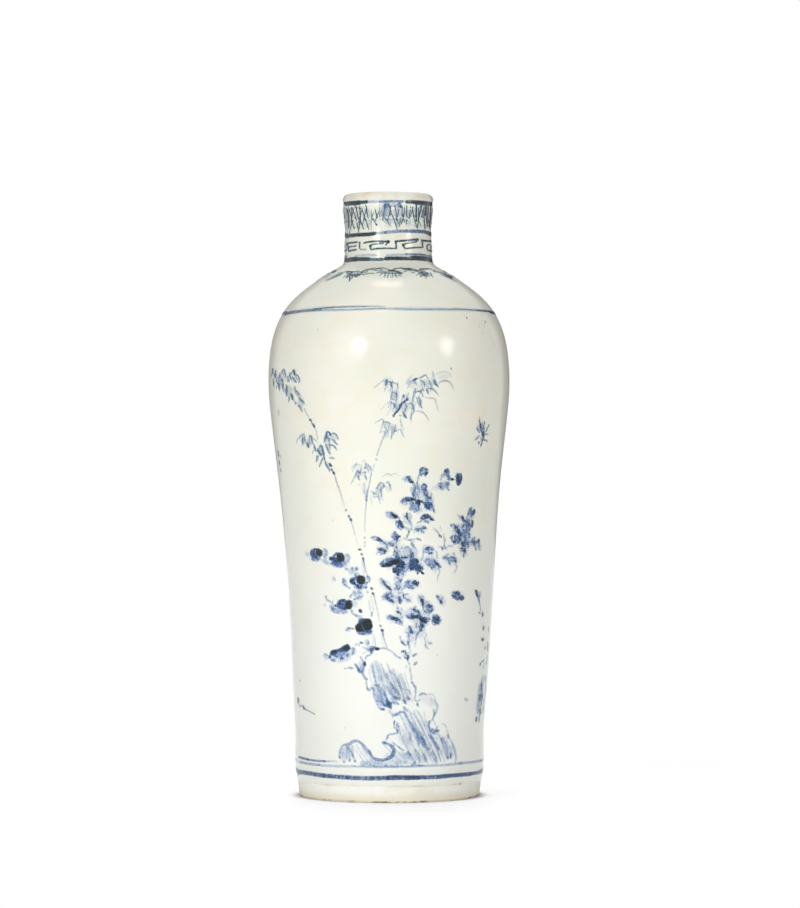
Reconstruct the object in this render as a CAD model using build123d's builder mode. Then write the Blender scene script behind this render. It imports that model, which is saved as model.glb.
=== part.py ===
"""A slender porcelain meiping vase, thrown in sections that are luted together with slip and then glazed.

Millimetres, +Z up, with the origin at the middle of the ring that the vase stands on.
Every piece is turned about Z. A point of an outline is (radius, height).
"""

import os
from math import cos, radians, sin

from build123d import *

# Foot, measured on the bare clay
foot_radius = 36.0
foot_bevel = 0.8
foot_wall = 5.2
heel_flare = 1.2
heel_height = 13.0
ankle_height = 22.0

# Floor, let into the foot above a shallow recess
recess_depth = 3.5
floor_thickness = 5.0
cove_radius = 3.0

# Body, from the ankle out to the belly and in over the shoulder to the root of the neck
belly_radius = 47.8
belly_height = 167.0
belly_wall = 3.6
shoulder_wall = 3.4
shoulder_rise = 46.3
shoulder_pitch = 30.0
root_fillet = 3.0

# Neck and lip
neck_radius = 17.2
neck_waist_inset = 0.2
neck_waist_rise = 13.0
neck_height = 24.4
lip_flare = 0.5
lip_thickness = 3.8

# Joints between the thrown sections, and the slip that fills them
slip_thickness = 0.6
waist_joint_share = 0.42
waist_joint_pitch = 25.0

# Glaze
glaze_thickness = 0.4
glaze_line_height = 6.0
lining_thickness = 0.4
base_glaze_thickness = 0.35

# Shape of the body's outline, as shares of the way out and up: ankle to belly, then belly to root
flank_shares = ((0.09, 0.13), (0.24, 0.33), (0.36, 0.47), (0.61, 0.70), (0.89, 0.88))
shoulder_shares = (
    (0.025, 0.22),
    (0.102, 0.444),
    (0.21, 0.59),
    (0.346, 0.698),
    (0.537, 0.807),
    (0.785, 0.917),
)
# Where a surface beside an outline is measured off from it, as shares of the outline's length
outline_steps = 18
beside_shares = tuple(step / outline_steps for step in range(outline_steps + 1))

# One overrun for every cutting outline
overrun = 2 * belly_radius


def between(start, end, shares):
    """Points from start to end, each at its own share of the way along the radius and the height."""
    return [
        (start[0] + (end[0] - start[0]) * out, start[1] + (end[1] - start[1]) * up)
        for out, up in shares
    ]


def beside(curve, share, gap):
    """The point at a share of a curve that climbs the vase, moved outwards by the gap."""
    along = curve % share
    return curve @ share + Vector(along.Y, -along.X) * gap


def over(curve):
    """Points on the glaze over a curve of the clay."""
    return [beside(curve, share, glaze_thickness) for share in beside_shares]


def ends(curve):
    """The directions of a curve at its start and end."""
    return [curve % 0, curve % 1]


# The root of the neck: a hollow arc from the pitch of the shoulder to upright
pitch = radians(shoulder_pitch)
root_height = belly_height + shoulder_rise
root_centre = Vector(neck_radius + root_fillet, root_height)
uphill = Vector(-cos(pitch), sin(pitch))
off_shoulder = Vector(sin(pitch), cos(pitch))
shoulder_end = root_centre - off_shoulder * root_fillet
neck_start = (neck_radius, root_height)

# The lip: a half-round bead on top of the neck
lip_bead = lip_thickness / 2
lip_height = root_height + neck_height
lip_radius = neck_radius + lip_flare
lip_middle = lip_radius - lip_bead
bore_radius = lip_middle - lip_bead
lined_bore_radius = bore_radius - lining_thickness

# Clay surface on the outside
heel_radius = foot_radius + heel_flare
heel = (heel_radius, heel_height)
ankle = (heel_radius, ankle_height)
belly = (belly_radius, belly_height)
with BuildLine() as body_outside:
    Spline(
        (foot_radius, foot_bevel),
        heel,
        ankle,
        *between(ankle, belly, flank_shares),
        belly,
        *between(belly, (shoulder_end.X, shoulder_end.Y), shoulder_shares),
        shoulder_end,
        tangents=[(heel_flare, heel_height), uphill],
    )
body_edge = body_outside.edges()[0]

with BuildLine() as neck_outside:
    Spline(
        neck_start,
        (neck_radius - neck_waist_inset, root_height + neck_waist_rise),
        (lip_radius, lip_height),
        tangents=[(0, 1), (0, 1)],
    )
neck_edge = neck_outside.edges()[0]

# Glazed surface on the outside, which stops at the glaze line
with BuildLine() as body_glazed:
    Spline(over(body_edge), tangents=ends(body_edge))
with BuildLine() as neck_glazed:
    Spline(over(neck_edge), tangents=ends(neck_edge))

# Clay surface inside the body, from just above the floor's cove to the root of the neck
seat_radius = heel_radius - foot_wall
floor_height = recess_depth + floor_thickness
cove_top = floor_height + cove_radius


def inside_points(lining):
    """The inside of the body's wall above the ankle, on the clay or on a lining of this thickness."""
    ankle_share, belly_share = (body_edge.param_at_point(Vector(*spot)) for spot in (ankle, belly))
    points = []
    for step in beside_shares[1:-1]:
        share = ankle_share + (1 - ankle_share) * step
        if share < belly_share:
            reach = (share - ankle_share) / (belly_share - ankle_share)
            wall = foot_wall + (belly_wall - foot_wall) * reach
        else:
            reach = (share - belly_share) / (1 - belly_share)
            wall = belly_wall + (shoulder_wall - belly_wall) * reach
        points.append(beside(body_edge, share, -wall - lining))
    return points


def inner_root(lining):
    """The centre and radius of the arc that turns from the shoulder's underside up into the bore."""
    under = shoulder_end - off_shoulder * (shoulder_wall + lining)
    radius = (under.X - bore_radius + lining) / (1 - sin(pitch))
    return under + off_shoulder * radius, radius


def inside_wall(lining, low):
    """Draws the inside, from a low height up the wall and into the bore, in a BuildLine."""
    centre, radius = inner_root(lining)
    under = centre - off_shoulder * radius
    wall_foot = (seat_radius - lining, ankle_height)
    Line((seat_radius - lining, low), wall_foot)
    Spline(wall_foot, *inside_points(lining), under, tangents=[(0, 1), uphill])
    TangentArc(under, (centre.X - radius, centre.Y), tangent=uphill)
    Line((centre.X - radius, centre.Y), (bore_radius - lining, lip_height))


# The whole clay wall as one outline, from which each thrown section is cut
with BuildSketch(Plane.XZ) as clay_wall:
    with BuildLine():
        Line((seat_radius + foot_bevel, 0), (foot_radius - foot_bevel, 0))
        Line((foot_radius - foot_bevel, 0), (foot_radius, foot_bevel))
        add(body_outside.line)
        TangentArc(shoulder_end, neck_start, tangent=uphill)
        add(neck_outside.line)
        ThreePointArc(
            (lip_radius, lip_height),
            (lip_middle, lip_height + lip_bead),
            (bore_radius, lip_height),
        )
        inside_wall(0, foot_bevel)
        Line((seat_radius, foot_bevel), (seat_radius + foot_bevel, 0))
    make_face()

# The joint at the waist slants across the wall
waist_point = body_edge @ waist_joint_share
waist_slope = Vector(cos(radians(waist_joint_pitch)), sin(radians(waist_joint_pitch)))
half_slip = Vector(0, slip_thickness / 2)


def waist_cut(lift):
    """The joint's line, as far as the overrun each way, lifted by a vector."""
    return waist_point - waist_slope * overrun + lift, waist_point + waist_slope * overrun + lift


def below_cut(lift):
    """Draws everything below a line of the waist's joint, in a BuildLine."""
    start, end = waist_cut(lift)
    drop = Vector(0, -belly_height)
    Polyline(start, end, end + drop, start + drop, close=True)


def neck_side(gap):
    """Draws everything on the neck's side of its joint, in a BuildLine, with a gap down the shoulder."""
    start = shoulder_end - uphill * gap
    inner, outer = start - off_shoulder * overrun, start + off_shoulder * overrun
    Polyline(inner, outer, outer + uphill * overrun, inner + uphill * overrun, close=True)


with BuildPart() as lower_body:
    with BuildSketch(Plane.XZ):
        add(clay_wall.sketch_local)
        with BuildLine():
            below_cut(-half_slip)
        make_face(mode=Mode.INTERSECT)
    revolve(axis=Axis.Z)

with BuildPart() as waist_slip:
    with BuildSketch(Plane.XZ):
        add(clay_wall.sketch_local)
        with BuildLine():
            Polyline(*waist_cut(-half_slip), *reversed(waist_cut(half_slip)), close=True)
        make_face(mode=Mode.INTERSECT)
    revolve(axis=Axis.Z)

with BuildPart() as upper_body:
    with BuildSketch(Plane.XZ):
        add(clay_wall.sketch_local)
        with BuildLine():
            below_cut(half_slip)
        make_face(mode=Mode.SUBTRACT)
        with BuildLine():
            neck_side(slip_thickness)
        make_face(mode=Mode.SUBTRACT)
    revolve(axis=Axis.Z)

with BuildPart() as neck_slip:
    with BuildSketch(Plane.XZ):
        add(clay_wall.sketch_local)
        with BuildLine():
            neck_side(slip_thickness)
        make_face(mode=Mode.INTERSECT)
        with BuildLine():
            neck_side(0)
        make_face(mode=Mode.SUBTRACT)
    revolve(axis=Axis.Z)

with BuildPart() as neck:
    with BuildSketch(Plane.XZ):
        add(clay_wall.sketch_local)
        with BuildLine():
            neck_side(0)
        make_face(mode=Mode.INTERSECT)
    revolve(axis=Axis.Z)

# The floor is a plain disc
disc_radius = seat_radius - slip_thickness
with BuildPart() as floor_disc:
    with BuildSketch(Plane.XY.offset(recess_depth)):
        Circle(disc_radius)
    extrude(amount=floor_thickness)

# The slip round the floor fills the gap at its edge and is wiped into a cove above it
with BuildPart() as floor_slip:
    with BuildSketch(Plane.XZ):
        with BuildLine():
            Polyline(
                (seat_radius - cove_radius, floor_height),
                (disc_radius, floor_height),
                (disc_radius, recess_depth),
                (seat_radius, recess_depth),
                (seat_radius, cove_top),
            )
            TangentArc(
                (seat_radius, cove_top),
                (seat_radius - cove_radius, floor_height),
                tangent=(0, -1),
            )
        make_face()
    revolve(axis=Axis.Z)

# The outer glaze runs from the glaze line up over the lip
with BuildPart() as outer_glaze:
    with BuildSketch(Plane.XZ):
        with BuildLine():
            add(body_glazed.line)
            TangentArc(
                body_glazed.line @ 1,
                (neck_radius + glaze_thickness, root_height),
                tangent=uphill,
            )
            add(neck_glazed.line)
            ThreePointArc(
                (lip_radius + glaze_thickness, lip_height),
                (lip_middle, lip_height + lip_bead + glaze_thickness),
                (lined_bore_radius, lip_height),
            )
            Line((lined_bore_radius, lip_height), (bore_radius, lip_height))
            ThreePointArc(
                (bore_radius, lip_height),
                (lip_middle, lip_height + lip_bead),
                (lip_radius, lip_height),
            )
            add(neck_outside.line)
            TangentArc(shoulder_end, neck_start, tangent=uphill)
            add(body_outside.line)
            Line(body_outside.line @ 0, body_glazed.line @ 0)
        make_face()
        with BuildLine():
            Polyline(
                (0, glaze_line_height),
                (overrun, glaze_line_height),
                (overrun, -overrun),
                (0, -overrun),
                close=True,
            )
        make_face(mode=Mode.SUBTRACT)
    revolve(axis=Axis.Z)

# The lining is the glaze that was swilled round the inside and poured out
lined_floor = floor_height + lining_thickness
with BuildPart() as inner_glaze:
    with BuildSketch(Plane.XZ):
        with BuildLine():
            inside_wall(lining_thickness, cove_top)
            Line((lined_bore_radius, lip_height), (bore_radius, lip_height))
            inside_wall(0, cove_top)
            TangentArc(
                (seat_radius, cove_top),
                (seat_radius - cove_radius, floor_height),
                tangent=(0, -1),
            )
            Polyline(
                (seat_radius - cove_radius, floor_height),
                (0, floor_height),
                (0, lined_floor),
                (seat_radius - cove_radius, lined_floor),
            )
            TangentArc(
                (seat_radius - lining_thickness, cove_top),
                (seat_radius - cove_radius, lined_floor),
                tangent=(0, -1),
            )
        make_face()
    revolve(axis=Axis.Z)

# The glaze brushed on the underside, inside the foot ring
with BuildPart() as base_glaze:
    with BuildSketch(Plane.XY.offset(recess_depth - base_glaze_thickness)):
        Circle(seat_radius)
    extrude(amount=base_glaze_thickness)

pieces = {
    "lower_body": lower_body,
    "waist_slip": waist_slip,
    "upper_body": upper_body,
    "neck_slip": neck_slip,
    "neck": neck,
    "floor_disc": floor_disc,
    "floor_slip": floor_slip,
    "outer_glaze": outer_glaze,
    "inner_glaze": inner_glaze,
    "base_glaze": base_glaze,
}

os.makedirs("parts", exist_ok=True)
for name, piece in pieces.items():
    piece.part.label = name
    export_step(piece.part, f"parts/{name}.step")
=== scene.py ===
"""A blue and white meiping vase: clay, slip joints, glazes and cobalt brushwork, in a plain pale studio."""
import math

import bmesh
import bpy
import numpy as np
from bpy.props import FloatProperty, FloatVectorProperty, IntProperty, PointerProperty
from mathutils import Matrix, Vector


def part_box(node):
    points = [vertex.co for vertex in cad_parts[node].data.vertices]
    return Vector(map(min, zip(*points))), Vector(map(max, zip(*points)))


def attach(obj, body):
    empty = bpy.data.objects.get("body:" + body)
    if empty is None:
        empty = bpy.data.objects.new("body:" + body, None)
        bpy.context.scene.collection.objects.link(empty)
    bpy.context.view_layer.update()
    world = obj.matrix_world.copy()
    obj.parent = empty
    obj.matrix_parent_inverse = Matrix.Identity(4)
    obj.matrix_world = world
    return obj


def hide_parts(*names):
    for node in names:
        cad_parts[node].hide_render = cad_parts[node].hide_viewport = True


bl_info = {
    "name": "Meiping vase",
    "version": (1, 0, 0),
    "blender": (4, 5, 0),
    "location": "3D View > Sidebar > Vase",
    "description": "Glazes and paints a meiping vase over its clay body",
    "category": "Object",
}

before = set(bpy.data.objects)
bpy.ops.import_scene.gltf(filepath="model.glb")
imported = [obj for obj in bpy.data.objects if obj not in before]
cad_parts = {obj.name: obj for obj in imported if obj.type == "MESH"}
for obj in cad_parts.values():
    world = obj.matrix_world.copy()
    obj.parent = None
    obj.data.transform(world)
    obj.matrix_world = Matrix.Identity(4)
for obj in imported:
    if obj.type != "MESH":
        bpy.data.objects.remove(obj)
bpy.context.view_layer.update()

# Photograph: its size in pixels, its lens in millimetres and the place of its camera in metres
PHOTO_WIDTH = 800
PHOTO_HEIGHT = 908
SENSOR_HEIGHT = 36.0
LENS = 141.74
CAMERA_PLACE = Vector((0.0, -1.43, 0.1306))
CAMERA_TARGET = Vector((0.0042, 0.0, 0.1362))

# Leaning of the thrown wall: height and sideways shift of a ring's centre, in metres
LEAN_KNOTS = ((0.0, 0.0), (0.028, 0.0), (0.042, 0.0002), (0.062, 0.0006), (0.085, 0.0006), (0.110, 0.0002),
              (0.130, -0.0001), (0.165, -0.0002), (0.205, -0.0003), (0.222, -0.0006), (0.240, -0.0006))
LEAN_WINDOW = 0.010
LEAN_SAMPLES = 9
LEAN_TOP = 0.25
LEAN_LEVELS = 126

# Glaze section, in metres
LIP_HEIGHT = 0.2377
LIP_CENTRE = 0.0158
LIP_ROUND = 0.0023
LIP_STEPS = 14
GLAZE_FOOT = 0.0062
FOOT_ZONE = 0.001
FOOT_LEVELS = 5
DRAWN_IN_HEIGHT = 0.0008
DRAWN_IN_SHARE = 0.6
# The lower edge wanders in waves: how many go round, their phase in radians and their share
WANDER_WAVES = ((3, 0.7, 0.5), (7, 2.1, 0.3), (17, 0.0, 0.2))
WANDER_HEIGHT = 0.002
MERGE_DISTANCE = 0.000001

# How the section is read from the solid of the outer glaze, in metres
SECTION_LEVELS = 1200
SECTION_MARGIN = 0.0002
SECTION_REACH = 0.0004
SKIN_DEPTH = 0.00018
SMOOTH_LEVELS = 9
SLOPE_STEP = 0.0006
SOLID_MERGE = 0.000002
CREASE_ANGLE = math.radians(35)

# Brush: widths and spacings in pixels of the photograph, depths in metres
STROKE_SPACING = 1.3
CURVE_STEPS = 8
FEWEST_STEPS = 3
BRUSH_COLUMNS = (-1.0, -0.5, 0.0, 0.5, 1.0)
SUNK_DEPTH = 0.00006
LIFT = 0.00004
LIFT_STEP = 0.000009
LIFT_LAYERS = 12
LIFT_CYCLE = 5
LIFT_CYCLE_STEP = 0.2
SOFT = {"line": 1.3, "leaf": 2.0, "dab": 2.8, "wash": 4.5}
# Ends reach past the first and the last pixel by pixels, and by a share of the width
REACH = {"line": (0.0, 0.0), "leaf": (0.3, 0.0), "dab": (0.0, 0.25), "wash": (0.0, 0.3)}
LEAF_SKEW = 0.85
LEAF_POINT = 0.8
LINE_TAPER = 7
LINE_TIP = 0.45
EDGE_OUTSIDE = 0.55
EDGE_INSIDE = 0.45
EDGE_LIMIT = 0.35
THINNEST_HALF = 0.3
INNER_LEAST = 0.15
INNER_MOST = 0.92
MIN_VIEW_SHARE = 0.3
TINY = 1e-9
TINY_PIXEL = 1e-6
WIDEST_RADIUS = 0.052
PAST_MIDDLE = 0.001
SIGHT_STEPS = 160
BISECTIONS = 22


# Surface of the vase

def glaze_section():
    """Heights and smoothed radii of the outer glaze, read from its solid, in metres."""
    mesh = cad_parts["outer_glaze"].data
    points = np.zeros(len(mesh.vertices) * 3)
    mesh.vertices.foreach_get("co", points)
    points = points.reshape(-1, 3)
    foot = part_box("outer_glaze")[0].z
    points = points[(points[:, 2] <= LIP_HEIGHT) & (points[:, 2] > foot + SECTION_MARGIN)]
    points = points[np.argsort(points[:, 2])]
    heights = points[:, 2]
    radii = np.hypot(points[:, 0], points[:, 1])
    levels = []
    outer = []
    for level in np.linspace(foot, LIP_HEIGHT, SECTION_LEVELS):
        near = np.abs(heights - level) < SECTION_REACH
        if near.any():
            skin = near & (radii > radii[near].max() - SKIN_DEPTH)
            levels.append(level)
            outer.append(np.interp(level, heights[skin], radii[skin]))
    padded = np.pad(outer, SMOOTH_LEVELS // 2, mode="edge")
    return np.array(levels), np.convolve(padded, np.ones(SMOOTH_LEVELS) / SMOOTH_LEVELS, mode="valid")


SECTION_HEIGHTS, SECTION_RADII = glaze_section()


def radius_at(height):
    """Radius of the glazed wall at a height."""
    return np.interp(height, SECTION_HEIGHTS, SECTION_RADII)


def slope_at(height):
    """How fast the radius grows with height."""
    return (radius_at(height + SLOPE_STEP) - radius_at(height - SLOPE_STEP)) / (SLOPE_STEP * 2)


LEAN_HEIGHTS = np.linspace(0.0, LEAN_TOP, LEAN_LEVELS)
LEAN_SHIFTS = np.mean([np.interp(LEAN_HEIGHTS + shift, *zip(*LEAN_KNOTS))
                       for shift in np.linspace(-LEAN_WINDOW, LEAN_WINDOW, LEAN_SAMPLES)], axis=0)


def lean_at(height):
    """Sideways shift of the ring at a height."""
    return np.interp(height, LEAN_HEIGHTS, LEAN_SHIFTS)


def on_wall(angle, height, out=0.0):
    """Points at an angle and height, a distance out from the wall, with the wall's normals."""
    slope = slope_at(height)
    size = np.sqrt(1 + slope * slope)
    normal = np.stack([np.cos(angle) / size, np.sin(angle) / size, -slope / size], axis=-1)
    radius = radius_at(height)
    foot = np.stack([lean_at(height) + radius * np.cos(angle), radius * np.sin(angle), height], axis=-1)
    return foot + normal * out, normal


def to_angle_height(points):
    """Angle and height of points near the wall."""
    height = points[..., 2]
    return np.arctan2(points[..., 1], points[..., 0] - lean_at(height)), height


# Sight lines of the photograph

FORWARD = (CAMERA_TARGET - CAMERA_PLACE).normalized()
RIGHT = FORWARD.cross(Vector((0, 0, 1))).normalized()
UPWARD = RIGHT.cross(FORWARD)
FOCAL_PIXELS = LENS / SENSOR_HEIGHT * PHOTO_HEIGHT


def sight_points(pixels):
    """Where the sight lines of photograph pixels meet the wall, as angles and heights."""
    x = (pixels[:, 0] - PHOTO_WIDTH / 2) / FOCAL_PIXELS
    y = (PHOTO_HEIGHT / 2 - pixels[:, 1]) / FOCAL_PIXELS
    ray = np.array(FORWARD) + x[:, None] * np.array(RIGHT) + y[:, None] * np.array(UPWARD)
    start = np.array(CAMERA_PLACE)

    def outside(reach):
        place = start + ray * reach[:, None]
        return np.hypot(place[:, 0] - lean_at(place[:, 2]), place[:, 1]) - radius_at(place[:, 2])

    middle_reach = -CAMERA_PLACE.y
    steps = np.linspace(middle_reach - WIDEST_RADIUS, middle_reach + PAST_MIDDLE, SIGHT_STEPS)
    gaps = np.array([outside(np.full(len(ray), step)) for step in steps])
    hit = gaps < 0
    first = np.where(hit.any(axis=0), hit.argmax(axis=0), gaps.argmin(axis=0))
    low = steps[np.maximum(first - 1, 0)]
    high = steps[first]
    for _ in range(BISECTIONS):
        middle = (low + high) / 2
        inside = outside(middle) < 0
        high = np.where(inside, middle, high)
        low = np.where(inside, low, middle)
    return to_angle_height(start + ray * high[:, None])


# Brush strokes

def brush_path(points):
    """A smooth line through pixels, as evenly spaced pixels."""
    if len(points) > 2:
        ends = np.vstack([2 * points[0] - points[1], points, 2 * points[-1] - points[-2]])
        t = np.linspace(0, 1, CURVE_STEPS, endpoint=False)[:, None]
        curve = []
        for k in range(len(points) - 1):
            a, b, c, d = ends[k:k + 4]
            curve.append(0.5 * (2 * b + (c - a) * t + (2 * a - 5 * b + 4 * c - d) * t ** 2
                                + (3 * b - a - 3 * c + d) * t ** 3))
        points = np.vstack(curve + [points[-1:]])
    lengths = np.concatenate([[0], np.cumsum(np.hypot(*np.diff(points, axis=0).T))])
    count = max(FEWEST_STEPS, int(math.ceil(lengths[-1] / STROKE_SPACING)))
    along = np.linspace(0, lengths[-1], count + 1)
    return np.stack([np.interp(along, lengths, points[:, k]) for k in range(2)], axis=1)


def stretched(points, extra):
    """Pixels with both ends moved outwards by extra."""
    points = points.copy()
    if len(points) == 1:
        return np.array([points[0] - (0, extra), points[0] + (0, extra)])
    first = points[0] - points[1]
    last = points[-1] - points[-2]
    points[0] += first / max(np.hypot(*first), TINY_PIXEL) * extra
    points[-1] += last / max(np.hypot(*last), TINY_PIXEL) * extra
    return points


def half_widths(kind, share, width):
    """Half the width of a stroke along its length, without its soft edge."""
    if kind == "leaf":
        return width * 0.5 * np.clip(np.sin(np.pi * share ** LEAF_SKEW), 0.0, 1) ** LEAF_POINT
    if kind in ("dab", "wash"):
        return width * 0.5 * np.sqrt(np.clip(1 - (2 * share - 1) ** 2, 0.0, 1))
    return width * 0.5 * np.clip(np.minimum(share, 1 - share) * LINE_TAPER + LINE_TIP, 0, 1)


def brush_rows(table):
    """Strokes of a table: kind, width, soft edge, first ink, last ink and pixels."""
    rows = []
    left, right = table.get("span", (0, PHOTO_WIDTH))
    for kind in ("wash", "dab", "leaf", "line"):
        for row in table.get(kind, ()):
            lead = 2 if kind in ("wash", "dab") else 3
            width = row[0] * table["scale"]
            strength = table.get("wash_strength" if kind == "wash" else "strength", 1.0)
            inks = [(ink ** table.get("contrast", 1.0)) * strength for ink in (row[1], row[lead - 1])]
            soft = SOFT[kind] * table.get("soft", 1.0)
            pixels = np.array(row[lead:], float).reshape(-1, 2)
            if left <= pixels[:, 0].min() and pixels[:, 0].max() <= right:
                rows.append((kind, width, soft, inks[0], inks[1], pixels))
    return rows


def stroke_path(stroke):
    """The pixels that a stroke runs along, with its soft ends."""
    kind, width, soft, _, _, pixels = stroke
    fixed, share = REACH[kind] if len(pixels) > 1 else (0.0, 0.5)
    return brush_path(stretched(pixels, fixed + width * share + soft * 0.5))


def lay_stroke(bm, layers, stroke, seen, look, turn, mirror):
    """Lays one brush stroke, a grid of faces, just under the glazed wall."""
    kind, width, soft, first_ink, last_ink, _ = stroke
    centre, normal = on_wall(*seen)
    tangent = np.gradient(centre, axis=0)
    tangent /= np.maximum(np.linalg.norm(tangent, axis=1, keepdims=True), TINY)
    across = np.cross(normal, tangent)
    across /= np.maximum(np.linalg.norm(across, axis=1, keepdims=True), TINY)
    flat = np.hypot(across @ np.array(RIGHT), across @ np.array(UPWARD))
    distance = (centre - np.array(CAMERA_PLACE)) @ np.array(FORWARD)
    pixel_size = distance / FOCAL_PIXELS / np.maximum(flat, MIN_VIEW_SHARE)
    rows = len(centre) - 1
    columns = len(BRUSH_COLUMNS) - 1
    share = np.linspace(0, 1, rows + 1)
    half = half_widths(kind, share, width)
    edge = np.minimum(soft, EDGE_LIMIT + half)
    reach = np.maximum(half + edge * EDGE_OUTSIDE, THINNEST_HALF)
    inner = np.clip((half - edge * EDGE_INSIDE) / reach, INNER_LEAST, INNER_MOST)
    wide = reach * pixel_size
    steps = np.arange(rows + 1)
    fade_in = np.clip(np.minimum(steps, rows - steps) * STROKE_SPACING / soft, 0.0, 1.0)
    places = np.zeros((rows + 1, columns + 1, 3))
    for j, side in enumerate(BRUSH_COLUMNS):
        aside = np.sign(side) * (inner if abs(side) < 1 else 1.0) * wide
        angle, height = to_angle_height(centre + across * aside[:, None])
        if mirror:
            angle = -angle - math.pi
        places[:, j] = on_wall(angle + turn, height, -SUNK_DEPTH)[0]
    for vert in bmesh.ops.create_grid(bm, x_segments=rows, y_segments=columns, size=0.5)["verts"]:
        i = int(round((vert.co.x + 0.5) * rows))
        j = int(round((vert.co.y + 0.5) * columns))
        vert.co = places[i, j]
        vert[layers["cover"]] = 0.0 if j in (0, columns) else fade_in[i]
        vert[layers["ink"]] = first_ink + (last_ink - first_ink) * share[i]
        for key, value in look.items():
            vert[layers[key]] = value


def painted_piece(name, parts, material):
    """A piece of brushwork from tables of strokes, each with its turn and mirroring."""
    bm = bmesh.new()
    layers = {key: bm.verts.layers.float.new(key) for key in ("cover", "ink", "hue", "grain", "lift")}
    count = 0
    for table, turn, mirror in parts:
        strokes = brush_rows(table)
        paths = [stroke_path(stroke) for stroke in strokes]
        ends = np.cumsum([len(path) for path in paths])[:-1]
        seen = zip(*(np.split(found, ends) for found in sight_points(np.vstack(paths))))
        for stroke, place in zip(strokes, seen):
            # Darker ink lies over paler ink
            layer = min(max(stroke[3:5]), 1.0) * (LIFT_LAYERS - 1) + count % LIFT_CYCLE * LIFT_CYCLE_STEP
            look = {"hue": table["wash_hue" if stroke[0] == "wash" else "hue"],
                    "grain": table.get("grain", 1.0), "lift": LIFT + LIFT_STEP * layer}
            lay_stroke(bm, layers, stroke, place, look, turn, mirror)
            count += 1
    raised = bmesh.ops.extrude_face_region(bm, geom=bm.faces[:], use_keep_orig=True)["geom"]
    tops = [made for made in raised if isinstance(made, bmesh.types.BMVert)]
    places = np.array([vert.co for vert in tops])
    lifts = np.array([vert[layers["lift"]] for vert in tops])
    normals = on_wall(*to_angle_height(places))[1]
    for vert, place in zip(tops, places + normals * (lifts + SUNK_DEPTH)[:, None]):
        vert.co = place
    bmesh.ops.recalc_face_normals(bm, faces=bm.faces[:])
    piece = new_object(name, bm, material)
    normals = on_wall(*to_angle_height(np.array([vert.co for vert in piece.data.vertices])))[1]
    piece.data.normals_split_custom_set_from_vertices(normals.tolist())
    piece.visible_shadow = False
    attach(piece, "root")
    return piece


# Objects

def new_object(name, bm, material):
    """A smooth mesh object made from a bmesh, in the scene's collection."""
    for face in bm.faces:
        face.smooth = True
    mesh = bpy.data.meshes.new(name)
    bm.to_mesh(mesh)
    bm.free()
    mesh.materials.append(material)
    piece = bpy.data.objects.new(name, mesh)
    bpy.context.scene.collection.objects.link(piece)
    return piece


def leaned_copy(node, name, material):
    """A merged copy of a solid, leaning as the thrown wall does, in its finish."""
    bm = bmesh.new()
    bm.from_mesh(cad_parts[node].data)
    bmesh.ops.remove_doubles(bm, verts=bm.verts[:], dist=SOLID_MERGE)
    for vert in bm.verts:
        vert.co.x += float(lean_at(vert.co.z))
    for crease in bm.edges:
        crease.smooth = crease.calc_face_angle(0.0) < CREASE_ANGLE
    piece = new_object(name, bm, material)
    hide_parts(node)
    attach(piece, "root")
    return piece


# Brushwork, stroke by stroke, in pixels of the photograph.
# A dab or a wash has its width, its ink and one or two points.
# A line or a leaf has its width, its first ink, its last ink and two points or more.

RINGS = {
    "hue": 0.18, "scale": 1.0, "strength": 1.05, "soft": 0.9, "grain": 0.5,
    "line": (
        (4.6, 0.92, 0.85, 345.6, 203.8, 350, 203.3, 356, 203, 361, 202.6),
        (3.4, 0.85, 0.7, 354, 202.8, 361, 202.4, 368, 201.9),
        (3.6, 0.85, 0.95, 405, 201.8, 412, 202, 420, 202.4, 428, 203, 432.2, 204),
        (3.2, 0.8, 0.95, 414, 203, 422, 203.6, 432, 205),
        (3.6, 0.92, 0.8, 346.4, 236.6, 350, 235.8, 356, 235.1, 363, 234.7, 370, 234.2, 376, 233.4),
        # The first stroke of this row is paler where the glaze's highlight falls on the neck: a painted
        # highlight
        (2.4, 0.4, 0.3, 372, 233.4, 376.5, 233), (3.2, 0.8, 0.95, 424, 232.2, 429, 233, 432, 234),
        (4.8, 0.95, 0.85, 347.4, 260.4, 352, 259.6, 358, 259.3),
        (4, 0.85, 0.75, 355, 259.3, 362, 259.2, 370, 259.3),
        (3.2, 0.7, 0.55, 368, 259.4, 376, 259.6, 384, 259.6),
        (3.8, 0.85, 0.85, 384, 258.8, 392, 258.6, 402, 258.6, 412, 258.6),
        (4.6, 0.9, 1, 409, 258.4, 416, 258.2, 422, 258.6, 428, 259.4, 432, 260.8),
    ),
    "dab": (
        (2.6, 0.9, 346.5, 201.8, 350.5, 201), (2.4, 0.9, 346.8, 237.2, 349, 236.4),
    ),
}

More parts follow.
